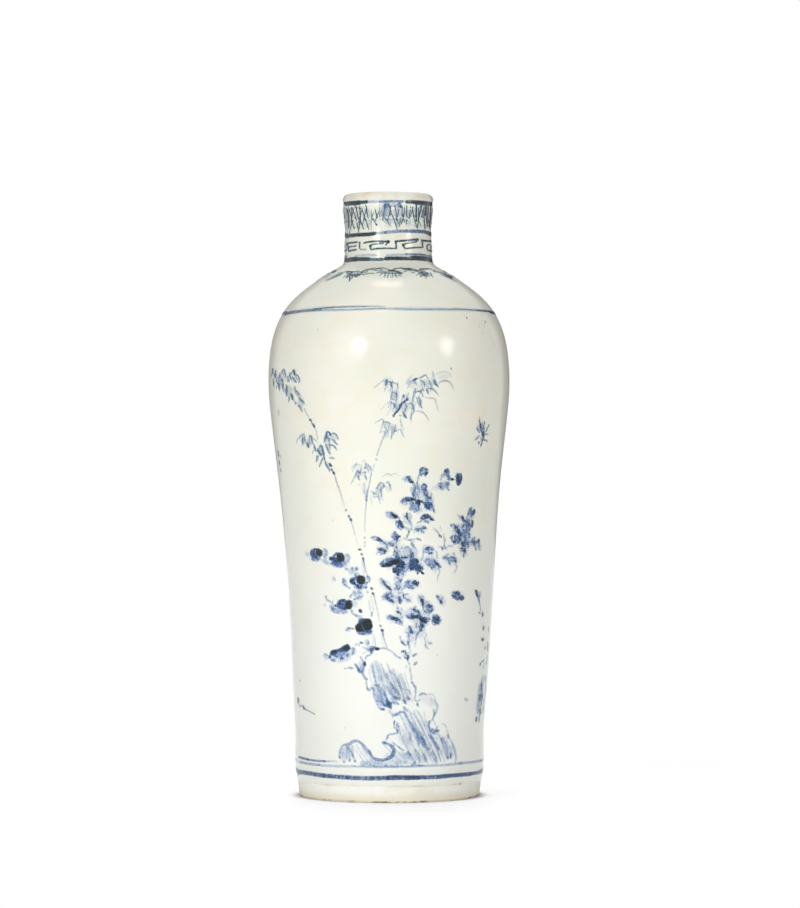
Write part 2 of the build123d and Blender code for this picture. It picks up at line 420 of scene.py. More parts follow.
RINGS_BLUE = {
    "hue": 0.7, "wash_hue": 0.85, "scale": 1.0, "strength": 0.8, "wash_strength": 0.7, "soft": 0.9,
    "grain": 0.6,
    "wash": (
        (5, 0.5, 386, 203.4, 387, 206.6), (4, 0.22, 392, 203.6, 395, 205.4),
        (4, 0.45, 398.4, 203.4, 400, 206.2), (9, 0.1, 386, 208, 388, 222), (9, 0.1, 398, 208, 398, 224),
        (6, 0.2, 384, 206, 384, 216),
    ),
    "dab": (
        (2.4, 0.55, 385.4, 204.6, 385.6, 207), (2.2, 0.5, 400.6, 206.4, 402.2, 207.6),
    ),
    "line": (
        (2.8, 0.45, 0.5, 378.4, 201.6, 384, 201.5, 392, 201.2, 404, 201.4),
        (3, 0.42, 0.6, 384, 232.6, 390, 232, 396, 231.5, 404, 231.2, 412, 231),
        (3.4, 0.66, 0.82, 404, 231.2, 414, 231.2, 422, 231.6, 427, 232.2),
        (2.2, 0.2, 0.25, 354, 256, 362, 255.4, 370, 255.2, 378, 255.4),
        (2.2, 0.25, 0.3, 386, 255.4, 396, 255, 404, 255),
        (2.4, 0.4, 0.45, 404, 254.6, 412, 254.4, 420, 254.6, 427, 256),
        # These two strokes carry the top two rings on, paler where the glaze's highlight falls on the neck:
        # a painted highlight
        (2.6, 0.35, 0.3, 366, 202, 373, 201.8, 380, 201.6),
        (2.6, 0.35, 0.4, 374, 233.6, 380, 233, 387, 232.4),
    ),
}

# The rings go on round the sides, where the photograph does not reach
NECK_RING_JOINS = {
    "hue": 0.3, "scale": 1.0, "strength": 1.05, "soft": 0.9, "grain": 0.5,
    "line": (
        (3.4, 0.9, 0.85, 368, 200.9, 378, 200.8, 392, 200.7, 405, 200.9),
        (3.4, 0.85, 0.9, 367, 231.6, 378, 232, 392, 232.6, 405, 233.4),
        (4.2, 0.9, 0.9, 366, 258.4, 378, 258.4, 392, 258.3, 406, 258.5),
        (2.2, 0.35, 0.3, 367, 255, 380, 254.8, 394, 254.9, 405, 255.2),
    ),
}

BODY_RING_JOINS = {
    "hue": 0.5, "scale": 0.95, "strength": 0.95, "soft": 0.9, "grain": 0.6,
    "line": (
        (3.4, 0.75, 0.6, 349, 309.5, 370, 309.2, 386, 309.1, 402, 309.2, 424, 309.5),
        (2.2, 0.26, 0.24, 358, 766.2, 374, 766.4, 392, 766.3, 414, 765.9),
        (4, 0.66, 0.7, 358, 776.7, 374, 776.9, 392, 776.9, 414, 776.6),
    ),
}

NECK_LEAVES = {
    "hue": 0.1, "wash_hue": 0.45, "scale": 0.74, "strength": 1.5, "wash_strength": 0.62, "soft": 0.42,
    "grain": 0.4,
    "wash": (
        (9, 0.1, 350, 210, 351, 228), (9, 0.12, 358, 210, 359, 226), (10, 0.12, 367, 210, 368, 226),
        (10, 0.1, 377, 208, 377, 224), (11, 0.12, 387, 208, 388, 226), (10, 0.12, 397, 208, 398, 226),
        (10, 0.12, 407, 208, 408, 226), (9, 0.12, 416, 210, 416, 226), (8, 0.12, 425, 210, 426, 227),
        (30, 0.11, 352, 217, 366, 217), (28, 0.12, 412, 217, 428, 217), (26, 0.09, 384, 214, 404, 214),
    ),
    "line": (
        (1.5, 0.8, 0.8, 346.3, 207.5, 347.5, 212, 348.5, 218, 348.8, 229),
        (1.1, 0.55, 0.5, 351.5, 207, 351.8, 214, 352, 222, 350.5, 229, 349.3, 235),
        (1.1, 0.5, 0.6, 352, 206.5, 353, 210, 355, 215, 357, 221),
        (1.1, 0.45, 0.55, 351.5, 212, 352.3, 221, 353, 224, 354.7, 229),
        (1.2, 0.6, 0.6, 355, 205.5, 356.3, 208, 357.2, 212, 358.6, 219),
        (1.2, 0.6, 0.55, 359, 206, 360, 208.5, 360.5, 217, 360.5, 221, 359.5, 226, 358.5, 233.5),
        (1.1, 0.45, 0.4, 357, 222, 358.3, 230),
        (1.1, 0.5, 0.6, 361.5, 208, 363, 212, 365.5, 219.5, 367, 223, 369, 230),
        (1.1, 0.5, 0.5, 360.5, 221, 362, 224.5, 363.6, 228.8),
        (1.2, 0.6, 0.5, 365.3, 204.5, 366.5, 207, 367, 212, 368.5, 219),
        (1.1, 0.2, 0.2, 371.5, 209, 371.3, 230),
        (1.1, 0.4, 0.5, 371, 217, 373, 219, 375.5, 223, 376.5, 224.5),
        (1.2, 0.4, 0.7, 375, 209, 376, 213, 377, 216.5), (1.1, 0.2, 0.2, 379, 204, 379.8, 212, 379.8, 221),
        (1.1, 0.5, 0.4, 384.8, 204.5, 384.3, 210, 382.5, 221),
        (1.1, 0.5, 0.45, 388.5, 204, 391, 212, 394, 220, 396.5, 227, 397.3, 230.5),
        (1.1, 0.4, 0.35, 384.3, 216.5, 388, 222.5, 391, 226.5), (1.2, 0.5, 0.4, 399, 202, 401, 207.5),
        (1.2, 0.5, 0.4, 402, 208, 402.2, 215, 404.5, 223), (1.1, 0.4, 0.5, 399, 208, 397, 218),
        (1.1, 0.35, 0.3, 397, 220, 400, 227), (1.1, 0.3, 0.3, 401, 217, 399, 226),
        (1.2, 0.5, 0.45, 406.8, 205, 406.5, 215, 408, 218), (1.1, 0.5, 0.4, 410.5, 209, 409, 217),
        (1.2, 0.5, 0.45, 412.5, 209, 413.7, 217, 416, 225, 417, 228.5),
        (1.1, 0.4, 0.35, 416, 208, 415.5, 218), (1.2, 0.5, 0.5, 418.5, 207, 418.3, 218, 417.3, 229),
        (1.1, 0.4, 0.35, 418.5, 220, 420.8, 226), (1.1, 0.5, 0.4, 420.5, 208, 419, 217),
        (1.2, 0.5, 0.6, 422, 209, 421.8, 217.5), (1.2, 0.6, 0.5, 424, 206, 423.5, 212, 424.8, 230),
        (1.3, 0.65, 0.6, 426, 205, 426, 218, 427, 228),
        (1.3, 0.65, 0.55, 428.3, 205, 427.5, 215, 429.5, 230),
        (1.3, 0.7, 0.6, 430.5, 206, 429.3, 223, 429.8, 229),
        (2.2, 0.55, 0.55, 347.4, 209, 348.6, 215, 349.2, 222, 349, 228),
        (1.5, 0.7, 0.7, 415.8, 204.5, 416.3, 208, 416, 214, 416.2, 222),
        (1.5, 0.65, 0.6, 421.4, 205, 420.6, 209, 419.4, 214, 418.6, 219),
        (1.6, 0.8, 0.75, 427.8, 205, 428, 212, 427.4, 218, 427.6, 224),
        (1.5, 0.7, 0.7, 425.4, 204.6, 425.2, 210, 424.6, 216),
        (1.4, 0.7, 0.65, 430.8, 206, 430.6, 212, 430, 220, 429.8, 228),
        (1.4, 0.6, 0.6, 423.6, 216, 424.4, 224, 424.6, 229.6),
        (1.3, 0.6, 0.55, 426, 218, 426.8, 223, 428.4, 227.6),
        (1.2, 0.5, 0.45, 348.4, 206, 350.6, 214, 352.6, 221),
        (1.2, 0.5, 0.45, 354.4, 207, 352.6, 214, 351, 222),
        (1.2, 0.45, 0.4, 362.6, 208, 360.4, 216, 358.6, 224),
        (1.2, 0.45, 0.4, 366.8, 208, 364.6, 216, 362.4, 226), (1.2, 0.35, 0.3, 373.4, 212, 371.8, 219),
        (1.2, 0.4, 0.3, 379, 211, 376.4, 218, 374.6, 222),
        (1.2, 0.45, 0.4, 391, 205, 389.6, 213, 387.4, 221),
        (1.2, 0.45, 0.4, 394.6, 205, 396, 212, 396.4, 219),
        (1.2, 0.5, 0.4, 404.6, 207, 403.6, 215, 401, 225), (1.2, 0.45, 0.4, 407, 219, 406, 225),
        (1.2, 0.5, 0.4, 413, 206, 411.4, 213, 409, 219),
    ),
    "dab": (
        (2, 0.7, 355.8, 218), (2, 0.7, 352.3, 221.5), (1.8, 0.7, 354.5, 228), (2, 0.75, 356.5, 208),
        (1.9, 0.75, 358.6, 218.5), (2, 0.75, 360, 208.5), (1.9, 0.65, 365.4, 219.5),
        (1.7, 0.6, 360.6, 221.4), (1.7, 0.6, 363.6, 228.6), (1.8, 0.6, 373, 219.5),
        (1.9, 0.65, 376.5, 224.7), (3, 0.85, 377, 217.5), (2, 0.6, 385.5, 205), (1.8, 0.6, 388.7, 204.5),
        (1.9, 0.6, 390, 214.5), (2, 0.65, 400.5, 206.5), (1.8, 0.65, 402.1, 214.8),
        (1.9, 0.65, 396.7, 219.5), (1.9, 0.7, 408.8, 218), (1.8, 0.6, 410.5, 207.5),
        (1.9, 0.65, 413.6, 216), (1.8, 0.6, 416.2, 205.5), (1.9, 0.65, 418.2, 219), (1.8, 0.65, 420.5, 207),
        (1.8, 0.6, 422, 204.5), (2, 0.7, 421.8, 217), (2, 0.75, 426, 219), (2, 0.75, 428, 207),
        (2, 0.8, 347.8, 212), (1.9, 0.7, 424.4, 225), (1.8, 0.7, 429.6, 224),
    ),
}

KEY_FRET = {
    "hue": 0.2, "scale": 0.98, "strength": 1.2, "soft": 0.8, "grain": 0.6,
    "line": (
        (1.6, 0.75, 0.65, 347.5, 244, 350, 243, 358, 242.2), (1.4, 0.6, 0.55, 348.5, 247, 357, 246),
        (1.6, 0.7, 0.6, 349, 251.5, 352, 250.5, 357, 249.5), (1.6, 0.8, 0.8, 347.8, 244, 349.2, 252),
        (1.4, 0.55, 0.5, 359.7, 244, 359.8, 249), (1.4, 0.3, 0.3, 360, 249.4, 367, 249.6),
        (1.7, 0.7, 0.7, 363.5, 243.2, 369, 242, 376, 241.4, 388, 241.5),
        (1.4, 0.65, 0.55, 387.5, 242.5, 385.5, 245.5), (1.4, 0.55, 0.6, 370, 245.5, 374, 244.3, 384, 243.2),
        (1.5, 0.65, 0.65, 370, 245.2, 371, 250),
        (1.5, 0.6, 0.55, 371, 250, 376, 248.7, 390, 248.4, 397, 248.8),
        (1.5, 0.65, 0.6, 395.8, 242.5, 396.3, 248.8), (1.9, 0.7, 0.75, 396, 241.3, 404, 240.8, 418, 239.3),
        (1.5, 0.7, 0.6, 417, 240.5, 415.5, 242.2), (1.4, 0.6, 0.6, 403, 244.5, 408, 243.3, 416, 241.9),
        (1.5, 0.65, 0.65, 403.3, 245, 404.8, 249), (1.5, 0.6, 0.6, 404.8, 248.6, 417, 247.5, 422.5, 247.8),
        (1.6, 0.7, 0.65, 422, 241, 422.5, 247.8), (1.9, 0.75, 0.8, 422, 240.7, 431.5, 241.3),
        (1.6, 0.7, 0.7, 426.8, 245, 427.2, 250), (1.5, 0.7, 0.7, 426.8, 244.8, 430.3, 245),
        (1.6, 0.7, 0.7, 427.2, 250.4, 430.8, 251),
    ),
    "dab": (
        (2.6, 0.8, 395.8, 242), (2.6, 0.85, 388.4, 241.8), (2.4, 0.8, 403.2, 245.4),
        (2.4, 0.8, 370.4, 246.4), (2, 0.75, 359.8, 242.8), (2.2, 0.8, 388, 241.8), (2, 0.7, 370.2, 246),
        (2, 0.7, 395.8, 241.6), (2.2, 0.85, 417.5, 239.6), (2, 0.75, 403, 244.8), (2, 0.75, 422, 240.9),
        (1.8, 0.7, 348.3, 243.6),
    ),
}

GARLAND = {
    "hue": 0.0, "wash_hue": 0.1, "scale": 0.95, "strength": 1.35, "wash_strength": 0.6, "soft": 0.65,
    "grain": 0.4,
    "wash": (
        (7, 0.28, 350, 275, 360, 274), (7, 0.28, 420, 273, 430, 274), (5, 0.15, 380, 271, 404, 272),
    ),
    "line": (
        (1.2, 0.4, 0.4, 335, 277, 338, 275, 344, 273), (1.1, 0.35, 0.35, 337, 273.5, 343, 272),
        (1.3, 0.55, 0.5, 344, 272.5, 348, 271.3, 354, 272, 358, 271.2, 361, 272.5, 368, 272),
        (1.5, 0.6, 0.6, 346, 278, 349, 275.5, 353, 275, 361, 275),
        (1.4, 0.6, 0.5, 349, 276, 350, 279, 349.5, 281),
        (1.3, 0.5, 0.5, 361, 272.5, 365, 270.5, 369, 269.5, 374, 270),
        (1.2, 0.4, 0.4, 362, 275, 369, 273.6, 375, 274),
        (1.2, 0.45, 0.45, 374, 270.3, 377, 269, 381, 268.2, 385, 268.5, 391, 271),
        (1.2, 0.4, 0.4, 374, 270.3, 384, 272, 388, 272.5),
        (1.2, 0.4, 0.4, 376, 272.8, 386, 273.3, 391, 273.5),
        (1.2, 0.45, 0.45, 391, 271, 394, 269.3, 397, 268.3, 401, 268.6, 406, 270),
        (1.2, 0.4, 0.4, 391, 271.3, 396, 271.2, 403, 273.5),
        (1.2, 0.4, 0.4, 388.5, 273.5, 399, 273.8, 403, 274.5), (1.2, 0.4, 0.3, 385, 275, 387, 277),
        (1.2, 0.4, 0.3, 390.5, 275.5, 391, 278), (1.2, 0.4, 0.3, 394, 275, 397, 277.5),
        (1.2, 0.4, 0.3, 398, 275, 400, 277), (1.5, 0.65, 0.6, 404, 270, 408, 268.8, 410, 269.5),
        (1.2, 0.5, 0.5, 408, 269, 412, 269, 418, 271.5), (1.2, 0.45, 0.45, 409, 270.5, 417, 271.5),
        (1.2, 0.4, 0.4, 411, 272.8, 415, 273),
        (1.5, 0.65, 0.65, 416, 272, 420, 270.5, 425, 269.5, 432, 269),
        (1.5, 0.65, 0.6, 418, 273, 423, 273.5, 428, 272.5), (1.3, 0.5, 0.5, 419, 275, 422, 276.5),
        (1.3, 0.55, 0.5, 423, 275, 425, 277.5), (1.3, 0.55, 0.5, 425, 274.5, 429, 277),
        (1.3, 0.5, 0.45, 427, 273.5, 431, 276),
        (1.2, 0.45, 0.4, 430, 269, 433, 270.5, 440, 272.5, 447, 276),
        (2, 0.75, 0.7, 346, 273, 350, 272, 354, 272.6),
        (2.2, 0.75, 0.7, 350, 275.5, 355, 275.4, 361, 274.6),
        (1.6, 0.6, 0.5, 349.6, 276, 349.8, 279, 349.4, 282),
        (2, 0.7, 0.6, 388, 271, 393, 271, 398, 272.6, 402, 273.8),
        (2.4, 0.8, 0.75, 420, 272.6, 424, 273.6, 428, 273), (2, 0.8, 0.8, 419, 269.4, 424, 269, 430, 268.8),
        (2.2, 0.75, 0.7, 422, 275, 426, 275.6), (2, 0.8, 0.7, 403.6, 270.2, 407, 269, 411, 269.6),
        (2.2, 0.7, 0.8, 432.6, 270.4, 436, 271.8),
        (2, 0.5, 0.5, 437, 272, 442, 273.4, 447, 275.6, 452, 278.4),
        (2, 0.45, 0.45, 325, 280.4, 331, 278.2, 337, 276, 343, 273.4), (1.3, 0.4, 0.3, 386, 272, 384, 278),
        (1.3, 0.4, 0.3, 389, 272, 387.4, 278.6), (1.3, 0.4, 0.3, 392, 272, 393, 278),
        (1.3, 0.4, 0.3, 395, 273, 397, 278), (1.3, 0.4, 0.3, 398, 273, 402, 277),
        (1.3, 0.4, 0.3, 383, 272.6, 379.6, 276.4), (1.3, 0.45, 0.35, 352, 272, 346, 279),
        (1.3, 0.45, 0.35, 355, 273, 351, 280), (1.3, 0.45, 0.3, 350, 273, 343, 278),
        (1.3, 0.45, 0.3, 358, 272, 356, 278), (1.3, 0.4, 0.3, 361, 272, 364, 276),
        (1.3, 0.45, 0.3, 424, 272, 420, 278), (1.3, 0.45, 0.3, 427, 273, 426, 279),
        (1.3, 0.45, 0.3, 430, 272, 433, 278), (1.3, 0.4, 0.3, 421, 272, 416, 276),
        (1.3, 0.4, 0.35, 366, 271, 374, 268.4, 384, 270.4),
        (1.3, 0.4, 0.35, 392, 270.6, 401, 268, 409, 270), (1.3, 0.4, 0.3, 404, 272, 412, 269.6, 420, 271.4),
        (1.3, 0.35, 0.3, 345, 271.6, 338, 274, 330, 277.6),
        (1.3, 0.35, 0.3, 341, 274.6, 333, 278.4, 325, 282),
        (1.3, 0.35, 0.3, 434, 271.6, 442, 274, 450, 277.4),
        (1.3, 0.35, 0.3, 440, 274.4, 448, 278, 457, 282.2),
    ),
    "dab": (
        (2.4, 0.6, 348, 274, 352, 273.6), (2.2, 0.6, 355, 276.5, 358, 275.8),
        (2, 0.55, 421, 271.8, 425, 271.4), (2, 0.5, 352, 277.4), (1.8, 0.45, 427, 275),
    ),
}

SHOULDER_RING = {
    "hue": 0.35, "scale": 0.9, "strength": 0.9, "grain": 0.4,
    "line": (
        (4.4, 0.6, 0.62, 284.6, 315, 288, 313.4, 293, 312.3, 300, 311.6),
        (3.6, 0.62, 0.5, 298, 311.6, 306, 310.8, 314, 310.2, 322, 309.8),
        (2, 0.5, 0.62, 312, 309.6, 320, 308.6, 326, 308, 334, 307.5),
        (1.8, 0.5, 0.42, 332, 307.4, 345, 306.9, 356, 306.6, 367, 306.5),
        (1.7, 0.3, 0.08, 366, 306.5, 374, 306.3, 386, 306.2),
        (2.2, 0.4, 0.3, 320, 310.5, 330, 310.3, 345, 310, 356, 309.6),
        (1.9, 0.32, 0.4, 354, 309.6, 366, 309.3, 376, 308.7, 386, 308.7),
        (2.2, 0.34, 0.42, 384, 308.8, 395, 308.9, 410, 309.4, 430, 309.4, 450, 309.4),
        (2, 0.45, 0.6, 448, 309.4, 460, 309.4, 470, 310, 480, 310.6),
        (2.4, 0.7, 0.92, 476, 310.4, 484, 311, 489, 311.6, 492.6, 312.8),
        (4.5, 0.07, 0.07, 300, 309.5, 320, 308, 345, 308, 385, 307.8),
        (5, 0.08, 0.08, 395, 308.5, 430, 309, 470, 309.8, 490, 311),
    ),
}

FOOT_RINGS = {
    "hue": 0.75, "scale": 1.0, "strength": 1.0, "grain": 0.7,
    "line": (
        (4.2, 0.68, 0.62, 297.6, 771.6, 303, 772.3, 310, 773.4, 318, 774.8, 326, 775.7),
        (4.2, 0.6, 0.55, 322, 775.3, 331, 776.2, 340, 777, 350, 777.6),
        (4.2, 0.55, 0.5, 346, 777.4, 356, 777.9, 366, 778.2, 374, 778.3),
        (4.2, 0.5, 0.62, 370, 778.3, 380, 778.1, 390, 777.8),
        (4.6, 0.66, 0.7, 386, 777.8, 395, 777.6, 404, 777.6, 411, 777.6),
        (4.2, 0.85, 0.85, 409, 777.6, 414, 777.6, 419, 777.5),
        (4, 0.62, 0.66, 417, 777.4, 428, 777.2, 438, 776.8, 448, 775.9),
        (3.8, 0.68, 0.74, 445, 776, 456, 775.2, 465, 774.5, 472, 773.7),
        (3.4, 0.7, 0.6, 469, 774, 475, 773, 480, 772, 483, 771.2),
        (2.2, 0.6, 0.5, 298.4, 756.8, 303, 758.2, 309, 759.7),
        (1.9, 0.5, 0.4, 307, 759.4, 315, 760.6, 326, 761.3),
        (1.7, 0.3, 0.1, 324, 761.2, 330, 761.3, 338, 761.5),
        (2.6, 0.32, 0.26, 298.8, 761.8, 304, 762.8, 312, 764.2, 320, 765.1),
        (2.4, 0.2, 0.18, 318, 765, 330, 766, 345, 766.2, 356, 766.4),
        (2.2, 0.2, 0.2, 354, 766.4, 370, 766.8, 390, 766.9, 410, 766.5, 424, 765.9),
        (2.2, 0.22, 0.22, 420, 765.9, 440, 765.4, 452, 764.3, 462, 763.3),
        (2.4, 0.28, 0.24, 458, 763.6, 468, 762.6, 476, 761.6, 482, 760),
    ),
    "dab": (
        (3, 0.7, 298, 769.6, 298.2, 774),
    ),
}

LEFT_BAMBOO = {
    "hue": 0.4, "wash_hue": 0.4, "scale": 0.9, "strength": 0.74, "wash_strength": 0.55, "soft": 0.8,
    "grain": 0.6,
    "wash": (
        (6, 0.28, 280, 376, 280, 386), (6, 0.25, 294, 376, 294, 381), (8, 0.3, 289, 388, 289, 394),
        (7, 0.25, 301, 399, 301, 405), (5, 0.2, 284, 372, 285, 379), (4, 0.16, 298, 392, 300, 397),
        (6, 0.26, 303, 438, 303, 442), (6, 0.28, 310, 438, 310, 444), (6, 0.3, 321, 447, 321, 455),
        (6, 0.28, 328, 435, 328, 444), (5, 0.2, 333, 435, 334, 441), (4, 0.22, 327, 463, 328, 468),
        (4, 0.12, 278, 412, 279, 416),
    ),
    "leaf": (
        (2.4, 0.85, 0.75, 273, 368.5, 272.8, 371.5, 271.3, 377),
        (2.4, 0.9, 0.8, 276.5, 370.5, 275.5, 373, 275.5, 378),
        (2, 0.75, 0.65, 274.8, 375, 276, 378, 277.5, 383.5), (1.7, 0.8, 0.7, 273.5, 379, 274.3, 386.5),
        (1.9, 0.7, 0.7, 276, 381, 278.2, 384.5, 277.5, 387),
        (2, 0.95, 0.85, 278.5, 383, 279.3, 386, 279.5, 390.5), (1.8, 0.5, 0.4, 276.8, 386, 276.2, 389),
        (1.7, 0.45, 0.4, 279.5, 373, 280.5, 379),
        (1.8, 0.5, 0.5, 282.5, 375, 283, 371, 284.5, 369.8, 285.8, 377.5),
        (2, 0.75, 0.65, 283, 382, 283.5, 390, 285, 392),
        (2, 0.85, 0.7, 286, 384.5, 286.8, 388, 286.5, 396.5), (1.7, 0.5, 0.45, 288, 376, 287.5, 382),
        (1.9, 0.6, 0.6, 289.5, 376, 292, 372.5, 293.5, 370.5), (2.8, 0.98, 0.85, 293.8, 369.5, 294.8, 375),
        (2, 0.8, 0.7, 290, 376, 291.6, 380), (1.7, 0.5, 0.45, 289, 379, 289.4, 382.5),
        (2, 0.7, 0.6, 292, 377, 294, 379, 296.8, 383),
        (1.9, 0.6, 0.6, 295.5, 374, 297.5, 375.5, 299.3, 378.5, 300, 383),
        (2.2, 0.35, 0.4, 294, 386, 295.5, 392, 295, 395), (2.6, 1, 0.95, 292, 394.5, 293, 400),
        (2, 0.7, 0.65, 291.2, 393.5, 291.5, 397), (2.2, 0.55, 0.5, 289.5, 397, 288.8, 402),
        (1.8, 0.5, 0.45, 296, 402, 296, 404.5), (1.7, 0.4, 0.35, 297, 391.5, 300.5, 395.5),
        (1.7, 0.4, 0.4, 297.5, 394, 300.5, 400), (2, 0.5, 0.5, 299.5, 399.5, 303.5, 402, 304.7, 404),
        (2, 0.5, 0.45, 297.5, 406.5, 300, 406.3, 302.8, 412), (1.5, 0.2, 0.15, 278.5, 409, 279.3, 415),
        (1.9, 0.4, 0.35, 297, 443, 297.5, 440, 302, 434.7, 304.5, 434.5, 304.5, 443),
        (1.9, 0.5, 0.5, 302.5, 438, 303, 445.5), (2.2, 0.8, 0.8, 307.5, 443, 308.8, 448),
        (2, 0.55, 0.6, 309, 437, 311, 435.7, 312.3, 441, 312, 444), (1.6, 0.3, 0.3, 313.5, 438, 318, 443),
        (2, 0.6, 0.65, 314, 446, 316, 451.5), (1.6, 0.35, 0.3, 313.5, 450, 312.5, 454),
        (2.4, 0.6, 0.75, 318, 449, 319, 452, 322, 455),
        (2.3, 0.55, 0.75, 320, 448, 321.5, 446, 323.5, 453, 325, 461),
        (1.9, 0.5, 0.45, 318.5, 455, 316.7, 462.5), (2, 0.4, 0.35, 323, 458, 321.5, 461, 319.5, 467),
        (2.4, 0.6, 0.8, 324, 443, 326, 437, 327.5, 431.5, 329.3, 432),
        (2.5, 0.8, 0.8, 329, 432.5, 331.5, 435.8), (2, 0.6, 0.6, 326, 438, 327.5, 437, 329.5, 442),
        (1.8, 0.45, 0.4, 332, 433.5, 335, 433.7, 339, 440), (1.8, 0.4, 0.35, 333, 440, 338, 445),
        (1.9, 0.5, 0.5, 329, 444, 330.5, 449.5), (1.7, 0.35, 0.35, 330, 446, 333, 445.5, 337.3, 450.5),
        (2, 0.5, 0.5, 325.5, 444, 328, 450.5, 330.3, 455),
        (1.7, 0.35, 0.35, 329.5, 458, 332, 457.2, 335, 459),
        (2, 0.65, 0.4, 325, 461, 326, 464.5, 329, 469, 330, 472.5),
    ),
    "line": (
        (1.3, 0.3, 0.35, 304, 408, 307, 414, 309, 417.5), (1.2, 0.22, 0.28, 315, 428, 316.5, 432, 318, 440),
        (1.6, 0.4, 0.14, 334.8, 475, 337, 483, 340, 491, 342.2, 499, 344.7, 506),
        (1.2, 0.28, 0.18, 351.5, 521.5, 353, 527, 355.3, 535.5), (1.2, 0.1, 0.1, 355.5, 536, 358, 545),
        (1.8, 0.55, 0.2, 363.3, 560, 364.5, 566, 365.5, 571, 366.8, 573.5),
        (1.2, 0.14, 0.14, 361.9, 561, 363.2, 571, 365, 578), (1.3, 0.35, 0.25, 367, 573.5, 367.8, 577.5),
        (1.3, 0.4, 0.25, 374, 595, 375, 600, 376.3, 606), (1.1, 0.16, 0.16, 371, 594, 372.4, 602, 374, 612),
        (1.7, 0.2, 0.14, 376.4, 606, 378.5, 615, 379.6, 622), (1.9, 0.7, 0.4, 382.7, 632, 383.5, 637),
        (1.4, 0.35, 0.25, 383.5, 637, 386, 645, 387, 649),
        (1.1, 0.12, 0.12, 380.6, 633, 382.5, 641, 384.5, 649), (1.3, 0.45, 0.4, 272, 368, 275, 378),
        (1.3, 0.4, 0.35, 275, 370, 280, 385), (1.3, 0.45, 0.4, 283, 369, 279, 378),
        (1.3, 0.4, 0.35, 284, 369, 286, 377), (1.3, 0.45, 0.35, 278, 376, 283, 388),
        (1.3, 0.45, 0.4, 290, 372, 288, 382), (1.3, 0.4, 0.3, 294, 372, 299, 383),
        (1.3, 0.35, 0.3, 285, 388, 287, 397), (1.3, 0.35, 0.3, 295, 386, 297, 396),
        (1.3, 0.4, 0.3, 296, 390, 300, 395), (1.3, 0.4, 0.35, 300, 398, 304, 404),
        (1.3, 0.4, 0.35, 292, 396, 296, 404), (1.3, 0.4, 0.3, 298, 404, 302, 412),
        (1.3, 0.35, 0.3, 303, 434, 303, 445), (1.3, 0.35, 0.3, 305, 438, 307, 447),
        (1.3, 0.35, 0.3, 310, 435, 309, 447), (1.3, 0.35, 0.3, 311, 437, 314, 445),
        (1.3, 0.4, 0.3, 314, 444, 317, 452), (1.3, 0.4, 0.3, 321, 444, 317, 452),
        (1.3, 0.4, 0.3, 322, 445, 324, 456), (1.3, 0.4, 0.3, 318, 450, 321, 456),
        (1.3, 0.4, 0.35, 317, 455, 316, 462), (1.3, 0.4, 0.3, 324, 456, 319, 467),
        (1.3, 0.4, 0.35, 324, 458, 330, 471), (1.3, 0.35, 0.3, 327, 431, 324, 440),
        (1.3, 0.35, 0.3, 328, 431, 331, 436), (1.3, 0.35, 0.3, 330, 434, 336, 434, 338, 440),
        (1.3, 0.4, 0.35, 329, 438, 333, 440, 337, 445), (1.3, 0.4, 0.35, 329, 444, 334, 446, 337, 450),
        (1.3, 0.4, 0.35, 326, 444, 331, 454), (1.3, 0.35, 0.3, 329, 458, 334, 459),
    ),
    "dab": (
        (2.6, 0.95, 281.6, 379.6, 282.8, 381), (2.3, 0.85, 309.5, 419, 311.7, 421.2),
        (1.8, 0.6, 311.8, 423.3), (2.3, 0.92, 313, 424, 314.8, 427.3),
        (2.4, 0.98, 329.5, 463.7, 331.6, 466.3), (2.2, 0.9, 331.4, 469.2, 332.5, 470.5),
        (2.5, 1, 333.2, 471.8, 334.6, 474.3), (2.6, 0.6, 346, 510.3), (2.4, 0.8, 348.7, 515.6, 349.3, 517),
        (2.5, 0.92, 350.4, 518.8, 351.4, 520.6), (1.9, 1, 358.6, 549.3, 361.2, 549.9),
        (2.1, 0.8, 361.3, 553.6, 362.2, 555), (2, 0.9, 362.8, 557.6, 363.5, 560),
        (2.4, 0.8, 370.8, 587.8, 372.3, 589.2), (2.1, 0.85, 372.5, 592.6, 373.5, 594.6),
        (2, 0.7, 380, 625, 381, 626.8), (2.8, 0.98, 381.6, 629.6, 382.8, 631),
    ),
}

